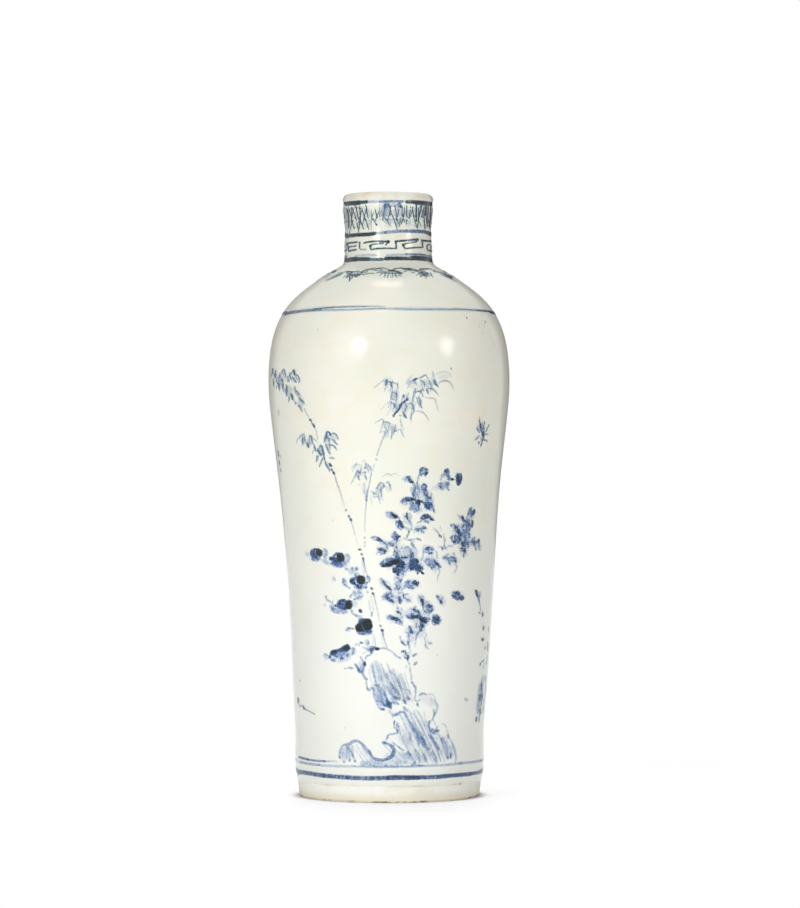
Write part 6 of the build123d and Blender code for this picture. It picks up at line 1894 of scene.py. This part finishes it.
class VASE_OT_linings(bpy.types.Operator):
    """Dresses the glaze inside the vase and under its floor"""
    bl_idname = "vase.linings"
    bl_label = "Inner and Base Glaze"

    def execute(self, context):
        dress(context, LINING_PIECES)
        return {"FINISHED"}


class VASE_OT_glaze(bpy.types.Operator):
    """Spins the outer glaze from its section, with its rounded lip and its wandering lower edge"""
    bl_idname = "vase.glaze"
    bl_label = "Outer Glaze"

    def execute(self, context):
        settings = context.scene.vase_glaze
        low_heights = GLAZE_FOOT + np.linspace(0, 1, FOOT_LEVELS, endpoint=False) ** 2 * FOOT_ZONE
        heights = np.concatenate([low_heights,
                                  np.linspace(GLAZE_FOOT + FOOT_ZONE, LIP_HEIGHT, settings.levels)[:-1]])
        slopes = slope_at(heights)
        sizes = np.sqrt(1 + slopes * slopes)
        outer = np.stack([radius_at(heights), heights], axis=1)
        outward = np.stack([1 / sizes, -slopes / sizes], axis=1)
        inner = outer - outward * settings.thickness
        arc = np.linspace(0, math.pi, LIP_STEPS + 1)
        turn = np.stack([np.cos(arc), np.sin(arc)], axis=1)
        lip = turn * LIP_ROUND + (LIP_CENTRE, LIP_HEIGHT)
        under_lip = turn * (LIP_ROUND - settings.thickness) + (LIP_CENTRE, LIP_HEIGHT)
        # The lower edge is drawn in by surface tension
        near_foot = np.clip(1 - (heights - GLAZE_FOOT) / DRAWN_IN_HEIGHT, 0, 1)
        outer = outer - outward * (near_foot ** 2 * settings.thickness * DRAWN_IN_SHARE)[:, None]
        section = np.vstack([outer, lip, under_lip[::-1], inner[::-1]])
        bm = bmesh.new()
        verts = [bm.verts.new((radius, 0.0, height)) for radius, height in section]
        edges = [bm.edges.new((a, b)) for a, b in zip(verts, verts[1:] + verts[:1])]
        bmesh.ops.spin(bm, geom=verts + edges, cent=(0, 0, 0), axis=(0, 0, 1), angle=math.tau,
                       steps=settings.sides, use_merge=True, use_duplicate=False)
        bmesh.ops.remove_doubles(bm, verts=bm.verts[:], dist=MERGE_DISTANCE)
        bmesh.ops.recalc_face_normals(bm, faces=bm.faces[:])
        for vert in bm.verts:
            angle = math.atan2(vert.co.y, vert.co.x)
            low = min(max(1 - (vert.co.z - GLAZE_FOOT) / WANDER_HEIGHT, 0.0), 1.0)
            wander = sum(math.sin(angle * waves + phase) * share for waves, phase, share in WANDER_WAVES)
            vert.co.z += wander * settings.wave * low
            vert.co.x += float(lean_at(vert.co.z))
        piece = new_object("outer_glaze_coat", bm, finish("outer glaze", context))
        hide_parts("outer_glaze")
        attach(piece, "root")
        return {"FINISHED"}


class VASE_OT_paint_bands(bpy.types.Operator):
    """Paints the rings, leaves, fret and garland that run round the vase"""
    bl_idname = "vase.paint_bands"
    bl_label = "Painted Bands"

    def execute(self, context):
        paint(context, BAND_PIECES)
        return {"FINISHED"}


class VASE_OT_paint_bamboo(bpy.types.Operator):
    """Paints the bamboo of the front, with its berries"""
    bl_idname = "vase.paint_bamboo"
    bl_label = "Painted Bamboo"

    def execute(self, context):
        paint(context, BAMBOO_PIECES)
        return {"FINISHED"}


class VASE_OT_paint_flowers(bpy.types.Operator):
    """Paints the chrysanthemums of the front and the insect over them"""
    bl_idname = "vase.paint_flowers"
    bl_label = "Painted Chrysanthemums"

    def execute(self, context):
        paint(context, FLOWER_PIECES)
        return {"FINISHED"}


class VASE_OT_paint_ground(bpy.types.Operator):
    """Paints the rock at the foot of the flowers and the small plants at the sides"""
    bl_idname = "vase.paint_ground"
    bl_label = "Painted Rock"

    def execute(self, context):
        paint(context, GROUND_PIECES)
        return {"FINISHED"}


class VASE_OT_paint_reverse(bpy.types.Operator):
    """Paints the far side with the same plants, carried on round the vase"""
    bl_idname = "vase.paint_reverse"
    bl_label = "Painted Reverse"

    def execute(self, context):
        paint(context, REVERSE_PIECES)
        return {"FINISHED"}


class VASE_OT_specks(bpy.types.Operator):
    """Scatters the few iron specks of the glaze"""
    bl_idname = "vase.specks"
    bl_label = "Iron Specks"

    def execute(self, context):
        parts = [(SPECKS, 0.0, False), (SPECKS, math.pi, True)]
        piece = painted_piece("iron_specks", parts, finish("iron speck", context))
        return {"FINISHED"}


# Stage

# Middle of the vase, in metres, which the lamps and the cards face
MIDDLE = Vector((0.0, 0.0, 0.12))
# Lamps: name, azimuth and elevation in degrees, width and height in metres, the setting that gives the
# power and the share of it, the distance as a share of the lamp distance, and whether the glaze only
# mirrors the lamp
LAMPS = (
    ("left lamp", -41, 21, 0.5, 0.6, "key", 1, 1.0, False),
    ("right lamp", 38, 20, 0.3, 0.3, "fill", 1, 1.0, False),
    ("front lamp", 14, 8, 1.2, 0.4, "front", 1, 1.27, False),
    ("back lamp", 180, 20, 1.2, 0.7, "back", 1, 1.27, False),
    ("top lamp", 180, 84, 0.6, 0.6, "top", 1, 1.0, False),
    ("low lamp", -22, -18, 0.2, 0.08, "low", 1, 0.2, False),
    ("left window", -27, 26, 0.045, 0.055, "windows", 0.6, 0.22, True),
    ("right window", 55, 25, 0.075, 0.055, "windows", 0.5, 0.22, True),
    ("overhead window", 182, 72, 0.4, 0.24, "windows", 6, 1.0, True),
)
# Cards: name, azimuth and elevation in degrees, width and height in metres, and how pale the card is
CARDS = (
    ("front card", -2, 4, 3.0, 1.7, 0.22),
    ("left card", -157, 10, 1.6, 1.7, 0.25),
    ("right card", 157, 10, 1.6, 1.7, 0.12),
)
CARD_DISTANCE = 2.6

# Floor: how pale it is to the lamps and to the eye, and where its shadow fades, in metres from the middle
FLOOR_LIT = 0.95
FLOOR_SHOWN = 0.56
SHADOW_START = 0.1
SHADOW_END = 0.42
# A painted contact shadow: the floor's glow is weakest right under the foot
CONTACT_SHADOW_START = 0.0345
CONTACT_SHADOW_END = 0.041
FLOOR_GLOW = 0.6
CLIP_START = 0.05


def direction(azimuth, elevation):
    """The way from the vase to a lamp or a card, from angles in degrees."""
    a, e = math.radians(azimuth), math.radians(elevation)
    return Vector((math.sin(a) * math.cos(e), -math.cos(a) * math.cos(e), math.sin(e)))


def soft_lamp(name, way, width, height, power, distance, mirrored):
    """An oval lamp that faces the middle of the vase. The glaze only mirrors it, or is only lit by it."""
    light = bpy.data.lights.new(name, "AREA")
    light.shape = "ELLIPSE"
    light.size = width
    light.size_y = height
    light.energy = power
    lamp = bpy.data.objects.new(name, light)
    lamp.location = MIDDLE + way * distance
    lamp.rotation_euler = way.to_track_quat("Z", "Y").to_euler()
    lamp.visible_glossy = mirrored
    lamp.visible_diffuse = not mirrored
    lamp.visible_camera = False
    bpy.context.scene.collection.objects.link(lamp)


def grey_card(name, way, width, height, shade):
    """A dark card that the glaze mirrors, as a studio has beside its camera. It takes no light away."""
    material, tree, output = new_material(name)
    tone = node(tree, "Emission", {"Color": grey(shade), "Strength": 1.0})
    feed(tree, output, {"Surface": tone.outputs[0]})
    bm = bmesh.new()
    bmesh.ops.create_grid(bm, x_segments=1, y_segments=1, size=0.5)
    bmesh.ops.scale(bm, vec=(width, height, 1.0), verts=bm.verts[:])
    bmesh.ops.transform(bm, matrix=way.to_track_quat("Z", "Y").to_matrix().to_4x4(), verts=bm.verts[:])
    bmesh.ops.translate(bm, vec=way * CARD_DISTANCE + MIDDLE, verts=bm.verts[:])
    card = new_object(name, bm, material)
    card.visible_camera = False
    card.visible_diffuse = False
    card.visible_shadow = False
    card.visible_transmission = False


def mix_shader(tree, share, first, second):
    """Two shaders mixed by a share."""
    return node(tree, "MixShader", {0: share, 1: first, 2: second}).outputs[0]


def seen_directly(tree):
    """One for rays from the camera, in mirrors and through glass, zero for the light itself."""
    path = node(tree, "LightPath").outputs
    seen = plus(tree, path["Is Camera Ray"], path["Is Glossy Ray"], clamp=True)
    return plus(tree, seen, path["Is Transmission Ray"], clamp=True)


def floor_material(backdrop):
    """Pale paper that reads white to the eye and keeps the shadow. Its glow is dimmed round the foot, a
    painted contact shadow.
    """
    material, tree, output = new_material("pale floor")
    reach = node(tree, "VectorMath", {0: object_place(tree)}, operation="LENGTH").outputs["Value"]
    # Painted contact shadow: less glow close to the foot
    painted_shadow_glow = smooth_step(tree, reach, CONTACT_SHADOW_START, CONTACT_SHADOW_END, FLOOR_GLOW)
    plain = node(tree, "BsdfDiffuse", {"Color": grey(FLOOR_LIT)}).outputs[0]
    shaded = node(tree, "BsdfDiffuse", {"Color": grey(FLOOR_SHOWN)}).outputs[0]
    glow = node(tree, "Emission", {"Color": backdrop, "Strength": painted_shadow_glow}).outputs[0]
    both = node(tree, "AddShader", {0: shaded, 1: glow}).outputs[0]
    far_white = node(tree, "Emission", {"Color": backdrop, "Strength": 1.0}).outputs[0]
    shown = mix_shader(tree, smooth_step(tree, reach, SHADOW_START, SHADOW_END), both, far_white)
    feed(tree, output, {"Surface": mix_shader(tree, seen_directly(tree), plain, shown)})
    return material


def plain_world(ambient, backdrop):
    """Soft light all round, and a backdrop that only shows."""
    world = bpy.data.worlds.new("plain studio")
    world.use_nodes = True
    tree = world.node_tree
    tree.nodes.clear()
    light = node(tree, "Background", {"Color": WHITE, "Strength": ambient}).outputs[0]
    shown = node(tree, "Background", {"Color": backdrop, "Strength": 1.0}).outputs[0]
    node(tree, "OutputWorld", {"Surface": mix_shader(tree, seen_directly(tree), light, shown)})
    return world


class VASE_OT_stage(bpy.types.Operator):
    """Sets the floor, the lamps, the backdrop and the camera"""
    bl_idname = "vase.stage"
    bl_label = "Stage"

    def execute(self, context):
        scene = context.scene
        settings = scene.vase_stage
        bm = bmesh.new()
        bmesh.ops.create_grid(bm, x_segments=1, y_segments=1, size=settings.floor / 2)
        new_object("floor", bm, floor_material(tuple(settings.backdrop)))
        for name, azimuth, elevation, width, height, shade in CARDS:
            grey_card(name, direction(azimuth, elevation), width, height, shade)
        for name, azimuth, elevation, width, height, source, share, reach, mirrored in LAMPS:
            soft_lamp(name, direction(azimuth, elevation), width, height, getattr(settings, source) * share,
                      settings.distance * reach, mirrored)
        scene.world = plain_world(settings.ambient, tuple(settings.backdrop))
        lens = bpy.data.cameras.new("camera")
        lens.sensor_fit = "VERTICAL"
        lens.sensor_height = SENSOR_HEIGHT
        lens.lens = LENS
        lens.clip_start = CLIP_START
        camera = bpy.data.objects.new("camera", lens)
        camera.location = CAMERA_PLACE
        camera.rotation_euler = FORWARD.to_track_quat("-Z", "Y").to_euler()
        scene.collection.objects.link(camera)
        scene.camera = camera
        scene.view_settings.view_transform = "Standard"
        return {"FINISHED"}


STEPS = ("stage", "clay", "slip", "linings", "glaze", "paint_bands", "paint_bamboo", "paint_flowers",
         "paint_ground", "paint_reverse", "specks")


class VASE_PT_panel(bpy.types.Panel):
    """Lists the settings and the steps of making the vase"""
    bl_idname = "VASE_PT_panel"
    bl_label = "Meiping Vase"
    bl_space_type = "VIEW_3D"
    bl_region_type = "UI"
    bl_category = "Vase"

    def draw(self, context):
        layout = self.layout
        for settings in (context.scene.vase_glaze, context.scene.vase_stage):
            box = layout.box()
            for key in settings.__annotations__:
                box.prop(settings, key)
        column = layout.column(align=True)
        for step in STEPS:
            column.operator("vase." + step)


CLASSES = (VASE_PG_glaze, VASE_PG_stage, VASE_OT_stage, VASE_OT_clay, VASE_OT_slip, VASE_OT_linings,
           VASE_OT_glaze, VASE_OT_paint_bands, VASE_OT_paint_bamboo, VASE_OT_paint_flowers,
           VASE_OT_paint_ground, VASE_OT_paint_reverse, VASE_OT_specks, VASE_PT_panel)


def register():
    """Registers the settings, the operators and the panel."""
    for made in CLASSES:
        bpy.utils.register_class(made)
    bpy.types.Scene.vase_glaze = PointerProperty(type=VASE_PG_glaze)
    bpy.types.Scene.vase_stage = PointerProperty(type=VASE_PG_stage)


def unregister():
    """Takes them out again."""
    del bpy.types.Scene.vase_stage
    del bpy.types.Scene.vase_glaze
    for made in reversed(CLASSES):
        bpy.utils.unregister_class(made)


def main():
    """Makes the vase step by step."""
    register()
    for step in STEPS:
        getattr(bpy.ops.vase, step)()


if __name__ == "__main__":
    main()
